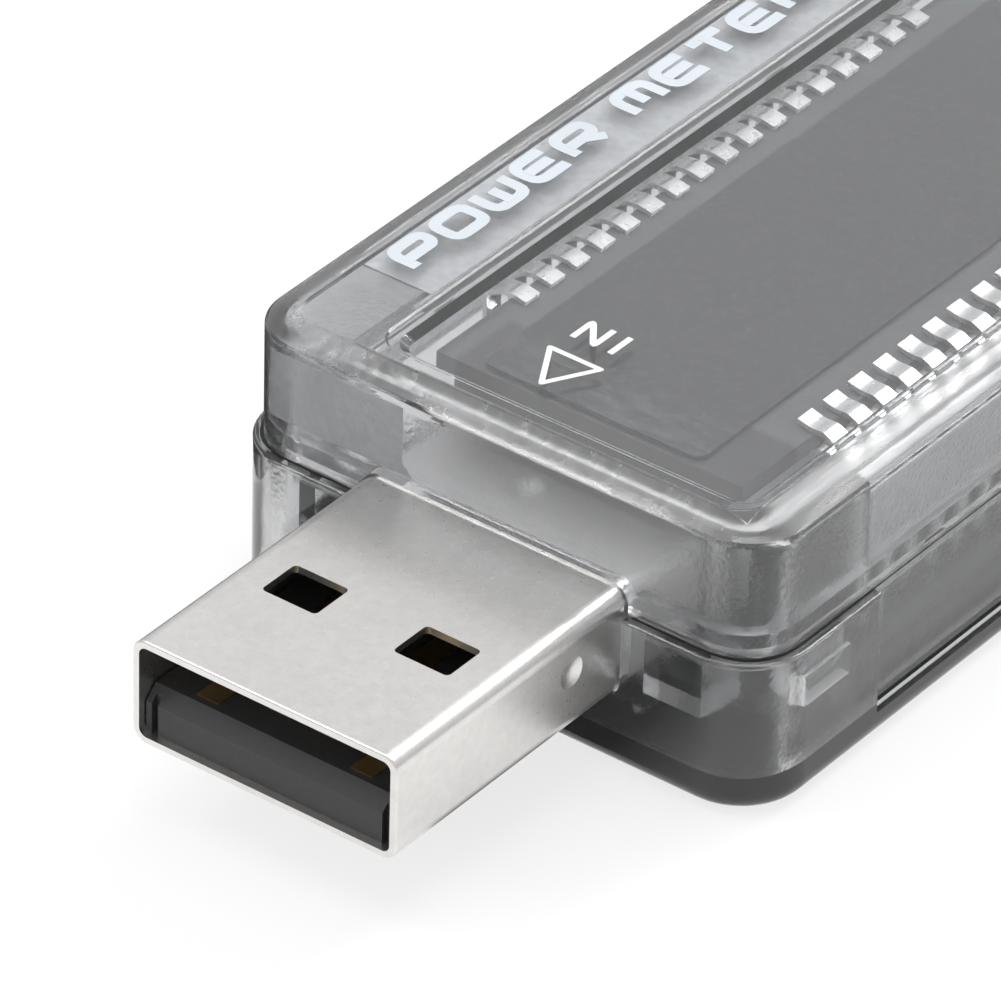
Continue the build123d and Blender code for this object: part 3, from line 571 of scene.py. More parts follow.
@dataclass(frozen=True)
class PolariserFilm:
    """Dark display film with adhesive smears and scuffs at its plug end."""

    name: str = "polariser_film"
    colour: Colour = (0.055, 0.056, 0.056)
    smear: Colour = (0.24, 0.242, 0.242)
    zone: Zone = ((-9.0, -20.0, 10.0), (9.0, -13.2, 12.0), 3.0)
    marks: Grain = (700.0, -0.4, 1.0)
    drawn: Colour = (1.0, 2.4, 1.0)
    specks: Grain = (3600.0, -1.4, 1.0)
    dustiness: float = 0.2
    rough: Point = (0.28, 0.58)

    def build(self) -> Material:
        """Make the film, with thin pale marks that fade out along the display."""
        values = {"Coat Weight": 0.3, "Coat Roughness": 0.1}
        material, shader, tree = new_material(self.name, values)
        link = tree.links.new
        marks, _ = SurfaceWear().place(tree, self.marks, self.drawn, 0.14)
        specks, _ = SurfaceWear().place(tree, self.specks, contrast=0.18)
        zone = ZoneMask().place(tree, self.zone)
        mask = maths(tree, "MULTIPLY", maths(tree, "MAXIMUM", marks, 0.0), zone)
        dust = maths(tree, "MAXIMUM", specks, 0.0)
        mask = maths(tree, "ADD", mask, maths(tree, "MULTIPLY", dust, self.dustiness))
        link(mix_colours(tree, self.colour, self.smear, mask), shader.inputs["Base Color"])
        extra = maths(tree, "MULTIPLY", mask, self.rough[1] - self.rough[0])
        link(maths(tree, "ADD", extra, self.rough[0]), shader.inputs["Roughness"])
        return material


@dataclass(frozen=True)
class BoardLaminate:
    """Near-black solder mask over faint copper tracks."""

    name: str = "board_laminate"
    colour: Colour = (0.012, 0.014, 0.014)
    track: Colour = (0.03, 0.034, 0.033)
    scale: float = 900.0
    gap: float = 0.42
    grain: Grain = (3000.0, 0.3, 0.45)
    depth: float = 0.00002

    def build(self) -> Material:
        """Make the mask, lighter over the tracks and pours."""
        values = {"Coat Weight": 0.3, "Coat Roughness": 0.12}
        material, shader, tree = new_material(self.name, values)
        link = tree.links.new
        coords = tree.nodes.new("ShaderNodeTexCoord")
        cells = tree.nodes.new("ShaderNodeTexVoronoi")
        cells.distance = "CHEBYCHEV"
        cells.feature = "F1"
        cells.inputs["Scale"].default_value = self.scale
        link(coords.outputs["Object"], cells.inputs["Vector"])
        step = maths(tree, "GREATER_THAN", cells.outputs["Distance"], self.gap)
        link(mix_colours(tree, self.track, self.colour, step), shader.inputs["Base Color"])
        link(SurfaceWear().place(tree, self.grain)[0], shader.inputs["Roughness"])
        emboss(tree, step, 0.4, self.depth)
        return material


@dataclass(frozen=True)
class Finishes:
    """Every finish of the meter: one for each material slot, and those of printed marks."""

    def build(self) -> Paints:
        """Make them all.

        Returns:
            Each material, by its name.
        """
        solids = [
            Solid("tinned_metal", (0.9, 0.9, 0.89), 0.3, 1.0, grain_scale=4000.0, grain=0.4),
            Solid("gold_contacts", (0.6, 0.45, 0.22), 0.32, metallic=1.0),
            Solid("solder", (0.74, 0.74, 0.72), 0.32, metallic=1.0),
            Solid("black_plastic", (0.028, 0.028, 0.029), 0.5, grain=0.5, grain_scale=5000.0),
            Solid(
                "display_glass", (0.15, 0.151, 0.151), 0.16, coat=0.6, shade=0.45,
                shade_zone=((-4.9, -22.0, 9.0), (12.0, -12.9, 12.0), 0.4),
            ),
            Solid("light_guide", (0.6, 0.62, 0.65), 0.3, coat=0.3),
            Solid("white_film", (0.8, 0.8, 0.8), 0.5),
            Solid("white_plastic", (0.72, 0.72, 0.7), 0.45),
            Solid("tan_ceramic", (0.5, 0.36, 0.22), 0.5),
            Solid("yellow_plastic", (0.7, 0.48, 0.1), 0.4),
            Solid("lamp_plastic", (0.8, 0.75, 0.65), 0.3, coat=0.4),
            Solid("button_plastic", (0.03, 0.03, 0.032), 0.4, grain=0.5, grain_scale=5000.0),
            Solid("roof_ink", (0.52, 0.56, 0.6), 0.55, tone=0.05),
            Solid("window_ink", (0.74, 0.74, 0.73), 0.55, tone=0.03),
            Solid("dark_gap", (0.01, 0.01, 0.01), 0.7),
            Solid("label_paper", (0.008, 0.008, 0.01), 0.6),
        ]
        others = [
            SmokedPlastic(),
            SmokedPlastic(name="smoked_lower_plastic", density=115.0),
            FrostedTexture(),
            FrostedTexture("frosted_patch", (0.88, 0.89, 0.9), 0.55),
            NickelPlate(),
            PolariserFilm(),
            BoardLaminate(),
        ]
        return {finish.name: finish.build() for finish in solids + others}


@dataclass(frozen=True)
class Ribbon:
    """A strip of one width that follows corners in a plane, with its bends rounded.

    Its thickness may rise a little along its length, so that crossing strips don't coincide.
    """

    corners: list[Point]
    width: float
    bend: float = 0.0
    rise: float = 0.0
    steps: int = 4
    shortest: float = 1e-6

    def line(self) -> list[Vector]:
        """Round the corners.

        Returns:
            The middle line's points.
        """
        points = [Vector(corner) for corner in self.corners]
        made = [points[0]]
        for before, corner, after in zip(points, points[1:], points[2:]):
            reach = min(self.bend, (before - corner).length / 2, (after - corner).length / 2)
            start = corner + (before - corner).normalized() * reach
            end = corner + (after - corner).normalized() * reach
            for step in range(self.steps + 1):
                t = step / self.steps
                made.append(start * (1 - t) ** 2 + corner * (2 * t * (1 - t)) + end * t**2)
        made.append(points[-1])
        kept = [a for a, b in zip(made, made[1:]) if (a - b).length > self.shortest]
        return kept + [made[-1]]

    def edges(self) -> list[tuple[Vector, Vector]]:
        """Offset the middle line to both sides.

        Returns:
            The left and right point at each point of the line.
        """
        line = self.line()
        runs = [(b - a).normalized() for a, b in zip(line, line[1:])]
        pairs = []
        for index, point in enumerate(line):
            before = runs[max(index - 1, 0)]
            after = runs[min(index, len(runs) - 1)]
            along = (before + after).normalized()
            across = Vector((-along.y, along.x))
            reach = self.width / 2 / max(along.dot(after), 0.5)
            pairs.append((point + across * reach, point - across * reach))
        return pairs

    def solid(self, bm: BMesh, low: float, high: float, place: Place) -> None:
        """Add the strip to a mesh as a closed solid.

        Args:
            bm: The mesh.
            low: Where its thickness starts, out of its plane.
            high: Where its thickness ends.
            place: Turns a point of the strip into a point of the part.
        """
        rings = []
        pairs = self.edges()
        for index, (left, right) in enumerate(pairs):
            top = high + self.rise * index / len(pairs)
            ring = ((*left, low), (*right, low), (*right, top), (*left, top))
            rings.append([bm.verts.new(place(*corner)) for corner in ring])
        skin(bm, rings)


@dataclass(frozen=True)
class Piece:
    """A new piece: its name, body, slot and the CAD nodes it stands for."""

    name: str
    slot: str
    body: str = "case"
    replaces: tuple[str, ...] = ()

    def from_bmesh(self, bm: BMesh, material: Material) -> None:
        """Args:
            bm: The mesh in metres, in the part's frame; it is freed.
            material: Its finish.
        """
        bmesh.ops.recalc_face_normals(bm, faces=bm.faces)
        mesh = bpy.data.meshes.new(self.name)
        bm.to_mesh(mesh)
        bm.free()
        mesh.materials.append(material)
        self.declare(mesh)

    def declare(self, mesh: bpy.types.Mesh) -> None:
        """Link the mesh's object, then ride and replace.

        Args:
            mesh: The finished mesh, with its material.
        """
        piece = bpy.data.objects.new(self.name, mesh)
        bpy.context.collection.objects.link(piece)
        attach(piece, self.body)
        if self.replaces:
            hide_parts(*self.replaces)
        log.info("built %s: %d faces", self.name, len(mesh.polygons))


@dataclass(frozen=True)
class RowArray:
    """A straight row of copies of one pattern piece, made by a shared Geometry Nodes tree."""

    count: int
    start: Colour
    pitch: float
    material: Material
    tilt: float = 0.0
    seed: int = 0

    def tree(self) -> Tree:
        """Build the tree once, or find it.

        Returns:
            The tree.
        """
        found = bpy.data.node_groups.get("row_array")
        if found:
            return found
        vectors = {"Start": "Vector", "Pitch": "Vector"}
        inputs = {"Geometry": "Geometry", "Count": "Int", **vectors, "Tilt": "Float", "Seed": "Int"}
        inputs["Material"] = "Material"
        outputs = {"Geometry": "Geometry"}
        tree, source, sink = start_group("row_array", "GeometryNodeTree", inputs, outputs)
        new = tree.nodes.new
        row = new("GeometryNodeMeshLine")
        row.mode = "OFFSET"
        spread = new("FunctionNodeRandomValue")
        spread.data_type = "FLOAT_VECTOR"
        spread.inputs[0].default_value = (-1.0, -1.0, -1.0)
        spread.inputs[1].default_value = (1.0, 1.0, 1.0)
        turn = new("ShaderNodeVectorMath")
        turn.operation = "SCALE"
        place = new("GeometryNodeInstanceOnPoints")
        real = new("GeometryNodeRealizeInstances")
        dress = new("GeometryNodeSetMaterial")
        given = source.outputs
        wires = (
            (given["Count"], row.inputs["Count"]),
            (given["Start"], row.inputs["Start Location"]),
            (given["Pitch"], row.inputs["Offset"]),
            (given["Seed"], spread.inputs["Seed"]),
            (spread.outputs[0], turn.inputs[0]),
            (given["Tilt"], turn.inputs["Scale"]),
            (row.outputs["Mesh"], place.inputs["Points"]),
            (given["Geometry"], place.inputs["Instance"]),
            (turn.outputs["Vector"], place.inputs["Rotation"]),
            (place.outputs["Instances"], real.inputs["Geometry"]),
            (real.outputs["Geometry"], dress.inputs["Geometry"]),
            (given["Material"], dress.inputs["Material"]),
            (dress.outputs["Geometry"], sink.inputs["Geometry"]),
        )
        for start, end in wires:
            tree.links.new(start, end)
        return tree

    def mesh(self, pattern: BMesh, name: str) -> bpy.types.Mesh:
        """Repeat a pattern and take the result as a plain mesh.

        Args:
            pattern: One copy, about its own origin; it is freed.
            name: Name of the mesh.

        Returns:
            The finished mesh, with its material.
        """
        bmesh.ops.recalc_face_normals(pattern, faces=pattern.faces)
        base = bpy.data.meshes.new(name + "_one")
        pattern.to_mesh(base)
        pattern.free()
        holder = bpy.data.objects.new(name + "_one", base)
        bpy.context.collection.objects.link(holder)
        modifier = holder.modifiers.new("row", "NODES")
        modifier.node_group = self.tree()
        values = {"Count": self.count, "Start": self.start, "Pitch": (0.0, self.pitch * MM, 0.0)}
        values |= {"Tilt": self.tilt, "Seed": self.seed, "Material": self.material}
        for item in modifier.node_group.interface.items_tree:
            if item.in_out == "INPUT" and item.name in values:
                modifier[item.identifier] = values[item.name]
        seen = holder.evaluated_get(bpy.context.evaluated_depsgraph_get())
        mesh = bpy.data.meshes.new_from_object(seen)
        mesh.name = name
        holder.modifiers.remove(modifier)
        bpy.data.objects.remove(holder)
        bpy.data.meshes.remove(base)
        return mesh


@dataclass
class DisplayClips:
    """The two rows of sprung clips that hold the display glass and drop into the board."""

    finishes: Paints
    count: int = 17
    pitch: float = 1.55
    first_y: float = -11.6
    head: float = 0.86
    leg: float = 0.45
    sheet: float = 0.2
    bend: float = 0.22
    tilt: float = math.radians(0.7)
    seed: int = 11
    tail_z: float = 1.75
    pads: dict[str, Point] = field(
        default_factory=lambda: {"LEFT": (0.1, 0.23), "RIGHT": (0.28, 0.12)}
    )
    tab_out: Point = (-0.76, -0.12)
    shoulder: tuple[Point, ...] = ((0.42, 0.17), (1.12, -0.2), (1.1, -1.35))
    jaw: tuple[Point, ...] = ((1.02, -1.1), (0.3, -0.86), (-0.62, -0.82))
    stem_top: Point = (1.1, -1.2)

    def pattern(self, side: Side, top: float) -> BMesh:
        """One clip about the edge of the glass: lifted tab, shoulder, jaw and leg.

        Args:
            side: Which row.
            top: Height of the glass's top face, in millimetres.

        Returns:
            The mesh, in metres.
        """
        bm = bmesh.new()

        def place(along: float, up: float, across: float) -> Colour:
            """Put a point of the profile at the glass's edge."""
            return in_metres(side.value * along, across, up)

        tab = list(zip(self.tab_out, self.pads[side.name])) + list(self.shoulder)
        stem = [self.stem_top, (self.stem_top[0], self.tail_z - top)]
        strips = ((tab, self.bend, self.head), (list(self.jaw), self.bend, self.leg))
        for corners, bend, width in (*strips, (stem, 0.0, self.leg)):
            Ribbon(corners, self.sheet, bend).solid(bm, -width / 2, width / 2, place)
        return bm

    def build(self) -> None:
        """Build both rows."""
        low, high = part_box("lcd_front_glass")
        top = high[2] / MM
        for side in Side:
            edge = high[0] if side is Side.RIGHT else low[0]
            node = f"lcd_pins_{side.name.lower()}"
            start = (edge, self.first_y * MM, high[2])
            tin = self.finishes["tinned_metal"]
            row = RowArray(self.count, start, self.pitch, tin, self.tilt, self.seed)
            name = f"display_clips_{side.name.lower()}"
            mesh = row.mesh(self.pattern(side, top), name)
            Piece(name, "tinned_metal", replaces=(node,)).declare(mesh)


@dataclass
class BoardVias:
    """Plated holes along the board, seen through the case."""

    finishes: Paints
    radius: float = 0.32
    hole: float = 0.15
    height: float = 0.03
    segments: int = 14
    rows: tuple[tuple[Point, int, float], ...] = (
        ((-9.3, -14.0), 20, 2.1),
        ((7.6, -14.0), 12, 2.1),
        ((-1.2, -13.0), 5, 1.6),
        ((0.9, 18.6), 3, 1.0),
    )

    def ring(self) -> BMesh:
        """One plated ring.

        Returns:
            The mesh, in metres.
        """
        bm = bmesh.new()
        loops = []
        for radius, z in ((self.radius, 0), (self.radius, 1), (self.hole, 1), (self.hole, 0)):
            loop = []
            for k in range(self.segments):
                turn = 2 * math.pi * k / self.segments
                spot = (math.cos(turn) * radius, math.sin(turn) * radius, z * self.height)
                loop.append(bm.verts.new(Vector(spot) * MM))
            loops.append(loop)
        skin(bm, loops + loops[:1], capped=False)
        return bm

    def build(self) -> None:
        """Build every row on the board's top face."""
        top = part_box("main_board")[1][2]
        for number, (start, count, pitch) in enumerate(self.rows):
            first = (start[0] * MM, start[1] * MM, top)
            row = RowArray(count, first, pitch, self.finishes["solder"], seed=number)
            name = f"board_vias_{number}"
            Piece(name, "solder").declare(row.mesh(self.ring(), name))


@dataclass(frozen=True)
class Word:
    """A printed word. Sizes and gaps are those of its strokes' middle lines, in mm."""

    text: str
    origin: Point
    heading: Heading
    size: Point
    gap: float
    stroke: float


@dataclass
class RoofMarks:
    """Printed lettering on the roof, and the marks that show which way the current goes."""

    finishes: Paints
    title: Word = Word("POWER METER", (-8.62, -13.65), Heading.ALONG, (1.74, 1.34), 0.72, 0.5)
    outlet: Word = Word("OUT", (-1.6, 25.0), Heading.TO_SOCKET, (0.95, 1.3), 0.6, 0.28)
    inlet: Word = Word("IN", (0.22, -12.1), Heading.TO_PLUG, (0.95, 1.3), 0.6, 0.25)
    outlet_mark: Point = (0.0, 27.2)
    inlet_mark: Point = (-0.72, -14.45)
    ink: float = 0.02
    rise: float = 0.004
    window_depth: float = 0.3
    narrow: float = 0.35
    triangle: Point = (1.16, 2.05)
    line: float = 0.22
    bend: float = 0.02

    def write(self, bm: BMesh, word: Word, z: float) -> None:
        """Draw a word with rounded strokes.

        Args:
            bm: The mesh to add to.
            word: The word.
            z: Height of the surface it is printed on.
        """
        turn = Matrix.Rotation(word.heading.value, 2)
        pen = 0.0

        def place(u: float, v: float, w: float) -> Colour:
            """Put a point of the word on the roof."""
            spot = Vector(word.origin) + turn @ Vector((u + pen, v))
            return in_metres(spot.x, spot.y, z + w)

        for letter in word.text:
            width = word.size[0] * (self.narrow if letter == "I" else 1.0)
            for layer, run in enumerate(GLYPHS.get(letter, [])):
                corners = [(x * width, y * word.size[1]) for x, y in run]
                thick = self.ink + 2 * layer * self.rise
                strip = Ribbon(corners, word.stroke, word.stroke, self.rise)
                strip.solid(bm, 0.0, thick, place)
            pen += (width if letter != " " else self.narrow * width) + word.gap

    def arrow(self, bm: BMesh, middle: Point, towards: float, z: float) -> None:
        """Draw an outlined triangle that points along the case.

        Args:
            bm: The mesh to add to.
            middle: Middle of its base, in millimetres.
            towards: Minus one for the plug, one for the socket.
            z: Height of the surface it is printed on.
        """
        half, reach = self.triangle

        def place(u: float, v: float, w: float) -> Colour:
            """Put a point of the triangle on the roof."""
            return in_metres(middle[0] + u, middle[1] + v * towards, z + w)

        corners = [(0, 0), (half, 0), (0, reach), (-half, 0), (0, 0)]
        Ribbon(corners, self.line, self.bend, self.rise).solid(bm, 0.0, self.ink, place)

    def build(self) -> None:
        """Print the lettering and the outlet's mark on the roof, and the inlet's in the window."""
        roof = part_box("top_cover")[1][2] / MM
        bm = bmesh.new()
        self.write(bm, self.title, roof)
        self.arrow(bm, self.outlet_mark, 1.0, roof)
        self.write(bm, self.outlet, roof)
        Piece("roof_lettering", "white_film").from_bmesh(bm, self.finishes["roof_ink"])
        floor = roof - self.window_depth
        bm = bmesh.new()
        self.arrow(bm, self.inlet_mark, -1.0, floor)
        self.write(bm, self.inlet, floor)
        Piece("window_marks", "white_film").from_bmesh(bm, self.finishes["window_ink"])


@dataclass
class PlugSeam:
    """Dovetailed joint where the plug's folded shell meets on its underside."""

    finishes: Paints
    width: float = 0.07
    proud: float = 0.012
    bend: float = 0.05
    tail: float = 0.25
    tooth: float = 1.3
    metal: float = 0.3
    front_gap: float = 0.15
    rear_gap: float = 1.0

    def build(self) -> None:
        """Lay the joint line along the underside."""
        low, high = (Vector(corner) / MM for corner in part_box("plug_insulator"))
        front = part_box("plug_shell")[0][1] / MM
        rear = high.y - self.rear_gap
        bottom = low.z - self.metal
        step = (rear - front) / 5
        line: list[Point] = [(0.0, front + self.front_gap)]
        for number in (1, 3):
            start = front + step * number
            end = start + step
            near, far = start - self.tail, end + self.tail
            line += [(0.0, start), (-self.tail, near), (self.tooth, near)]
            line += [(self.tooth, far), (-self.tail, far), (0.0, end)]
        line.append((0.0, rear))
        bm = bmesh.new()
        strip = Ribbon(line, self.width, self.bend)
        strip.solid(bm, bottom - self.proud, bottom + self.bend, in_metres)
        Piece("plug_seam", "black_plastic").from_bmesh(bm, self.finishes["dark_gap"])


@dataclass
class FrostedAreas:
    """Ground texture on the roof beside the window, beside the plug and along the sides."""

    finishes: Paints
    thickness: float = 0.05
    clearance: float = 0.02
    wall: float = 1.0
    strip_x: Point = (-10.7, -7.5)
    strip_start: float = -14.2
    strip_gap: float = 2.0
    corner: tuple[Point, Point] = ((-10.7, -7.9), (-18.7, -14.3))
    heights: Point = (7.9, 10.8)
    patch_edge: float = 1.3
    patch_inner: float = -4.7
    patch_bevel: float = 0.5
    port_gap: Point = (0.25, 0.12)
    side_start: float = -13.0
    side_gap: float = 2.2

    def build(self) -> None:
        """Lay the strip and its corner under the roof, the front patch and both sides."""
        low, high = (Vector(corner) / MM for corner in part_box("top_cover"))
        top = high.z - self.wall - self.clearance
        strip = rectangle(self.strip_x, (self.strip_start, high.y - self.strip_gap))
        finish = "frosted_texture"
        self.plate("frosted_strip", [(x, y, top) for x, y in strip], (0, 0, -1), finish)
        patch = rectangle(*self.corner)
        self.plate("frosted_corner", [(x, y, top) for x, y in patch], (0, 0, -1))
        front = low.y + self.wall + self.clearance
        shell = Vector(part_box("plug_shell")[1]) / MM
        port, above = -shell.x - self.port_gap[0], shell.z + self.port_gap[1]
        left, inner, bevel = -high.x + self.patch_edge, self.patch_inner, self.patch_bevel
        base, crown = self.heights
        outline = [(left, base), (port, base), (port, above), (inner + bevel, above)]
        outline += [(inner, above + bevel), (inner, crown), (left, crown)]
        self.plate("frosted_patch", [(x, front, z) for x, z in outline], (0, 1, 0))
        side = high.x - self.wall - self.clearance - self.thickness
        outline = rectangle((self.side_start, high.y - self.side_gap), self.heights)
        for hand, name in ((-1, "left"), (1, "right")):
            corners = [(hand * side, y, z) for y, z in outline]
            self.plate(f"frosted_side_{name}", corners, (hand, 0, 0))

    def plate(
        self, name: str, corners: list[Colour], towards: Colour, finish: str = "frosted_patch"
    ) -> None:
        """Make one thin closed area of texture.

        Args:
            name: What the piece is called.
            corners: One face's corners, in mm.
            towards: The way its thickness grows.
            finish: The finish that it shows.
        """
        bm = bmesh.new()
        depth = Vector(towards) * self.thickness
        near = [bm.verts.new(Vector(corner) * MM) for corner in corners]
        far = [bm.verts.new((Vector(corner) + depth) * MM) for corner in corners]
        skin(bm, [near, far])
        Piece(name, "smoked_clear_plastic").from_bmesh(bm, self.finishes[finish])


@dataclass
class SeamShadowStrip:
    """Thin black strip in the gap between the covers, a painted shadow of the seam's gap, showing
    on the ledge at both ends.
    """

    finishes: Paints
    grip: Point = (-13.1, 26.1)
    height: Point = (6.655, 6.722)
    ledge_width: float = 0.48
    flush_width: float = 0.36
    port_gap: float = 0.3
    inset: float = 0.2
    recess: float = 0.015
    bend: float = 2.4

    def build(self) -> None:
        """Lay the painted shadow strip round the covers, open at the two ports."""
        low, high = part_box("top_cover")
        side = high[0] / MM
        bm = bmesh.new()
        ends = ((low, "plug_shell", -1, self.grip[0]), (high, "socket_shell", 1, self.grip[1]))
        for corner, port, outward, start in ends:
            line_y = corner[1] / MM - outward * self.inset
            open_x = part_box(port)[1][0] / MM + self.port_gap
            for hand in (-1, 1):
                edge = hand * (side - self.inset)
                run = [(hand * open_x, line_y), (edge, line_y), (edge, start)]
                strip = Ribbon(run, self.ledge_width, self.bend, steps=10)
                strip.solid(bm, *self.height, in_metres)
        for hand in (-1, 1):
            edge = hand * (side - self.flush_width / 2 - self.recess)
            run = [(edge, y) for y in self.grip]
            Ribbon(run, self.flush_width).solid(bm, *self.height, in_metres)
        # painted shadow: this dark strip stands in for the shade in the gap between the covers
        Piece("seam_seal", "black_plastic").from_bmesh(bm, self.finishes["dark_gap"])


@dataclass
class UndersideLabel:
    """Plain dark sheets with rounded corners: a label under the case, a film on its floor."""

    finishes: Paints
    corner: float = 2.2
    steps: int = 8
    label_margin: float = 0.95
    label_height: Point = (-0.05, -0.004)
    film_margin: float = 1.5
    film_length: float = 9.0
    film_height: Point = (1.105, 1.14)

    def build(self) -> None:
        """Cut both sheets and lay them."""
        low, high = (Vector(corner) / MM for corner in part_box("bottom_cover"))
        self.sheet("underside_label", low.xy, high.xy, self.label_margin, self.label_height)
        front = Vector((high.x, low.y + self.film_length))
        self.sheet("insulating_film", low.xy, front, self.film_margin, self.film_height)

    def sheet(self, name: str, low: Vector, high: Vector, margin: float, height: Point) -> None:
        """Make one sheet.

        Args:
            name: What the piece is called.
            low: Corner of the case in plan, in mm.
            high: The corner across from it.
            margin: How far the sheet stays inside them.
            height: Its underside and its top.
        """
        bm = bmesh.new()
        rings = []
        for z in height:
            ring = []
            for quarter, (x, y) in enumerate(((1, 1), (-1, 1), (-1, -1), (1, -1))):
                middle_x = (high.x if x > 0 else low.x) - x * (margin + self.corner)
                middle_y = (high.y if y > 0 else low.y) - y * (margin + self.corner)
                for step in range(self.steps + 1):
                    turn = math.pi / 2 * (quarter + step / self.steps)
                    out_x, out_y = math.cos(turn) * self.corner, math.sin(turn) * self.corner
                    spot = Vector((middle_x + out_x, middle_y + out_y, z))
                    ring.append(bm.verts.new(spot * MM))
            rings.append(ring)
        skin(bm, rings)
        Piece(name, "black_plastic").from_bmesh(bm, self.finishes["label_paper"])


@dataclass(frozen=True)
class Softbox:
    """One square soft light that faces the part from a direction."""

    name: str
    towards: Colour
    distance: float
    size: Point
    radiance: float

    def build(self) -> None:
        """Hang the light, with its power worked out from its brightness."""
        data = bpy.data.lights.new(self.name, "AREA")
        data.shape = "RECTANGLE"
        data.size, data.size_y = self.size
        data.energy = self.radiance * math.pi * self.size[0] * self.size[1]
        lamp = bpy.data.objects.new(self.name, data)
        place = Vector(self.towards).normalized() * self.distance
        lamp.location = place
        lamp.rotation_euler = (-place).to_track_quat("-Z", "Y").to_euler()
        bpy.context.collection.objects.link(lamp)


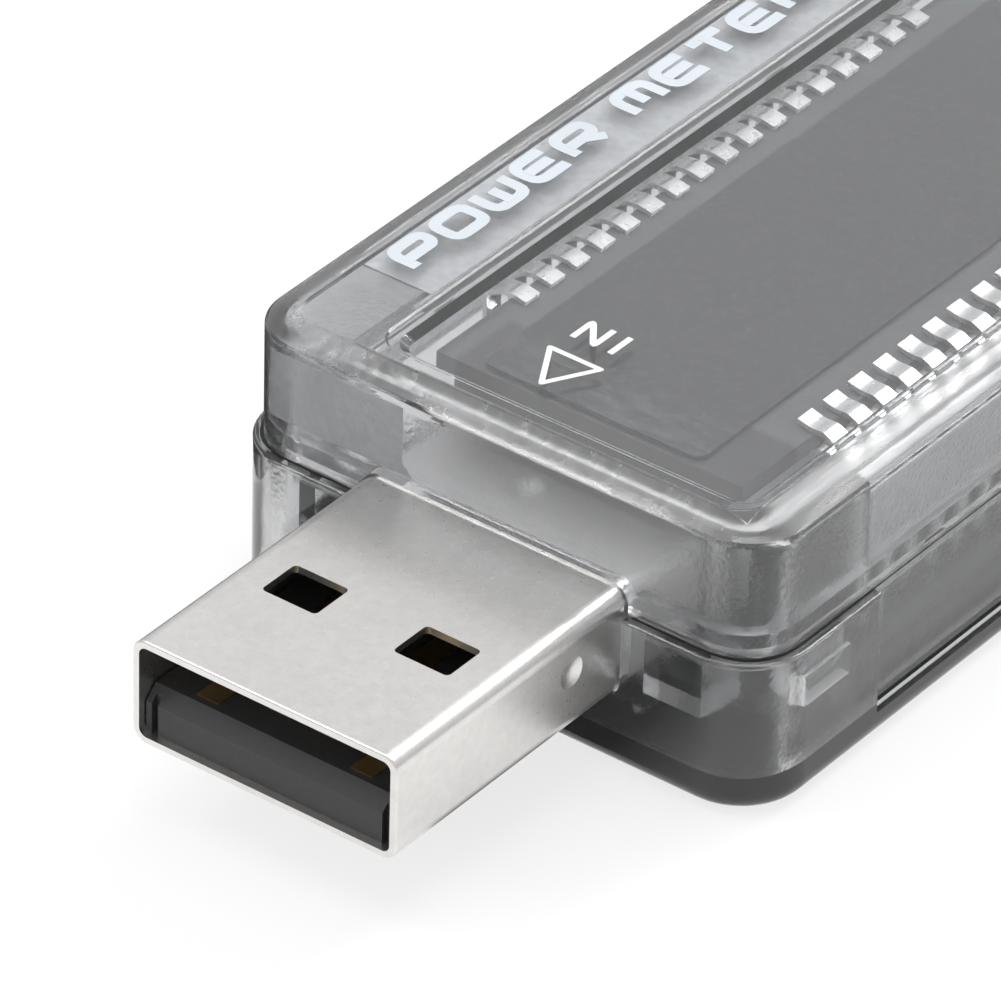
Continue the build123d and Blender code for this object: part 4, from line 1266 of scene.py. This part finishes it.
@dataclass
class Studio:
    """Pale floor, soft light, two cards that the gloss picks up, and the camera."""

    azimuth: float = 36.63
    elevation: float = 34.74
    roll: float = 1.48
    distance: float = 0.34157
    lens: float = 359.6
    sensor: float = 36.0
    clip: Point = (0.01, 10.0)
    aim: Colour = (0.010208, -0.0335, 0.02075)
    floor_reach: float = 3.0
    floor_z: float = -0.00007
    floor_tone: float = 0.22
    floor_glow: float = 0.75
    left_card: tuple[Point, Point] = ((-0.07, -0.0185), (-0.03, 0.12))
    front_card: tuple[Point, Point] = ((-0.013, 0.012), (-0.0283, -0.0209))
    card_tone: float = 0.003
    card_dark: Zone = ((-200.0, -200.0, -50.0), (9.5, 200.0, 50.0), 4.5)
    card_glow: float = 0.95
    sky: tuple[tuple[float, Colour], ...] = ((0.0, (0.5, 0.5, 0.51)), (0.7, (0.86, 0.86, 0.86)))
    lights: tuple[Softbox, ...] = (
        Softbox("edge_light", (0.12, 0.66, 0.74), 0.8, (0.3, 0.3), 10.0),
        Softbox("front_light", (-0.49, -0.31, 0.81), 0.8, (0.24, 0.24), 7.5),
        Softbox("overhead_light", (0.0, 0.02, 1.0), 0.8, (0.5, 0.5), 2.2),
    )

    def camera(self) -> None:
        """Make the camera and aim it at the plug end."""
        side, tilt, roll = (math.radians(v) for v in (self.azimuth, self.elevation, self.roll))
        back = Vector(
            (math.sin(side) * math.cos(tilt), -math.cos(side) * math.cos(tilt), math.sin(tilt))
        )
        right = Vector((math.cos(side), math.sin(side), 0.0))
        up = back.cross(right).normalized()
        turned_right = math.cos(roll) * right + math.sin(roll) * up
        turned_up = math.cos(roll) * up - math.sin(roll) * right
        data = bpy.data.cameras.new("camera")
        data.lens = self.lens
        data.sensor_width = self.sensor
        data.clip_start, data.clip_end = self.clip
        camera = bpy.data.objects.new("camera", data)
        turn = Matrix((turned_right, turned_up, back)).transposed().to_4x4()
        camera.matrix_world = Matrix.Translation(Vector(self.aim) + self.distance * back) @ turn
        bpy.context.collection.objects.link(camera)
        bpy.context.scene.camera = camera

    def matt(self, tone: float) -> dict[str, object]:
        """Say what a grey of one tone needs to glow without any gloss."""
        grey = (tone, tone, tone, 1.0)
        return {"Base Color": grey, "Specular IOR Level": 0.0, "Emission Color": WHITE}

    def floor(self) -> None:
        """Lay a pale floor under the part."""
        span = (-self.floor_reach, self.floor_reach)
        floor = lay_flat("floor", span, span, self.floor_z)
        values = self.matt(self.floor_tone)
        values |= {"Roughness": 0.8, "Emission Strength": self.floor_glow}
        paint(floor, new_material("floor_paper", values)[0])
        floor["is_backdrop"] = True

    def card(self, name: str, x: Point, y: Point) -> None:
        """Lay a dark card on the floor, seen only in reflections and through the plastic.

        It pales towards the right until it matches the floor.

        Args:
            name: What the card is called.
            x: Its left and right edges, in metres.
            y: Its front and back edges.
        """
        card = lay_flat(name, x, y, 0.0)
        card.visible_camera = False
        card.visible_diffuse = False
        card.visible_shadow = False
        material, shader, tree = new_material(name, self.matt(self.card_tone))
        dark = ZoneMask().place(tree, self.card_dark)
        pale = maths(tree, "SUBTRACT", 1.0, dark)
        pale = maths(tree, "MULTIPLY", pale, self.card_glow)
        tree.links.new(pale, shader.inputs["Emission Strength"])
        paint(card, material)
        card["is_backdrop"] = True

    def world(self) -> None:
        """Fill the room with a pale light that darkens towards the horizon."""
        world = bpy.data.worlds.new("room")
        bpy.context.scene.world = world
        world.use_nodes = True
        tree = world.node_tree
        coords = tree.nodes.new("ShaderNodeTexCoord")
        split = tree.nodes.new("ShaderNodeSeparateXYZ")
        ramp = tree.nodes.new("ShaderNodeValToRGB")
        for element, (position, colour) in zip(ramp.color_ramp.elements, self.sky):
            element.position = position
            element.color = (*colour, 1.0)
        link = tree.links.new
        link(coords.outputs["Generated"], split.inputs["Vector"])
        link(split.outputs["Z"], ramp.inputs["Fac"])
        back = tree.nodes["Background"]
        link(ramp.outputs["Color"], back.inputs["Color"])
        back.inputs["Strength"].default_value = 1.0

    def build(self) -> None:
        """Set up everything that isn't part of the object."""
        self.camera()
        self.floor()
        self.card("left_card", *self.left_card)
        self.card("front_card", *self.front_card)
        self.world()
        for light in self.lights:
            light.build()
        bpy.context.scene.view_settings.view_transform = "Standard"


@dataclass
class CadNodes:
    """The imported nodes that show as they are, each in its slot's finish."""

    frame: dict
    finishes: Paints
    overrides: dict[str, str] = field(default_factory=dict)

    def build(self) -> None:
        """Dress every node."""
        parts = self.frame["record"]["subparts"]
        slots = {part["node"]: part["material_slot"] for part in parts}
        for name, node in self.frame["nodes"].items():
            paint(node, self.finishes[self.overrides.get(name, slots[name])])
            log.info("dressed %s", name)


def main() -> dict:
    """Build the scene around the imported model.

    Returns:
        The CAD box and the visual model's box, as plain lists.
    """
    logging.basicConfig(level=logging.INFO, format="%(message)s")
    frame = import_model()
    cad_box = [list(corner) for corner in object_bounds()]
    Studio().build()
    finishes = Finishes().build()
    CadNodes(frame, finishes, {"bottom_cover": "smoked_lower_plastic"}).build()
    extras = (DisplayClips, BoardVias, RoofMarks, PlugSeam, FrostedAreas, SeamShadowStrip, UndersideLabel)
    for assembly in extras:
        assembly(finishes).build()
        log.info("finished %s", assembly.__name__)
    boxes = {"cad": cad_box, "visual": [list(corner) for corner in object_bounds()]}
    return boxes


if __name__ == "__main__":
    main()
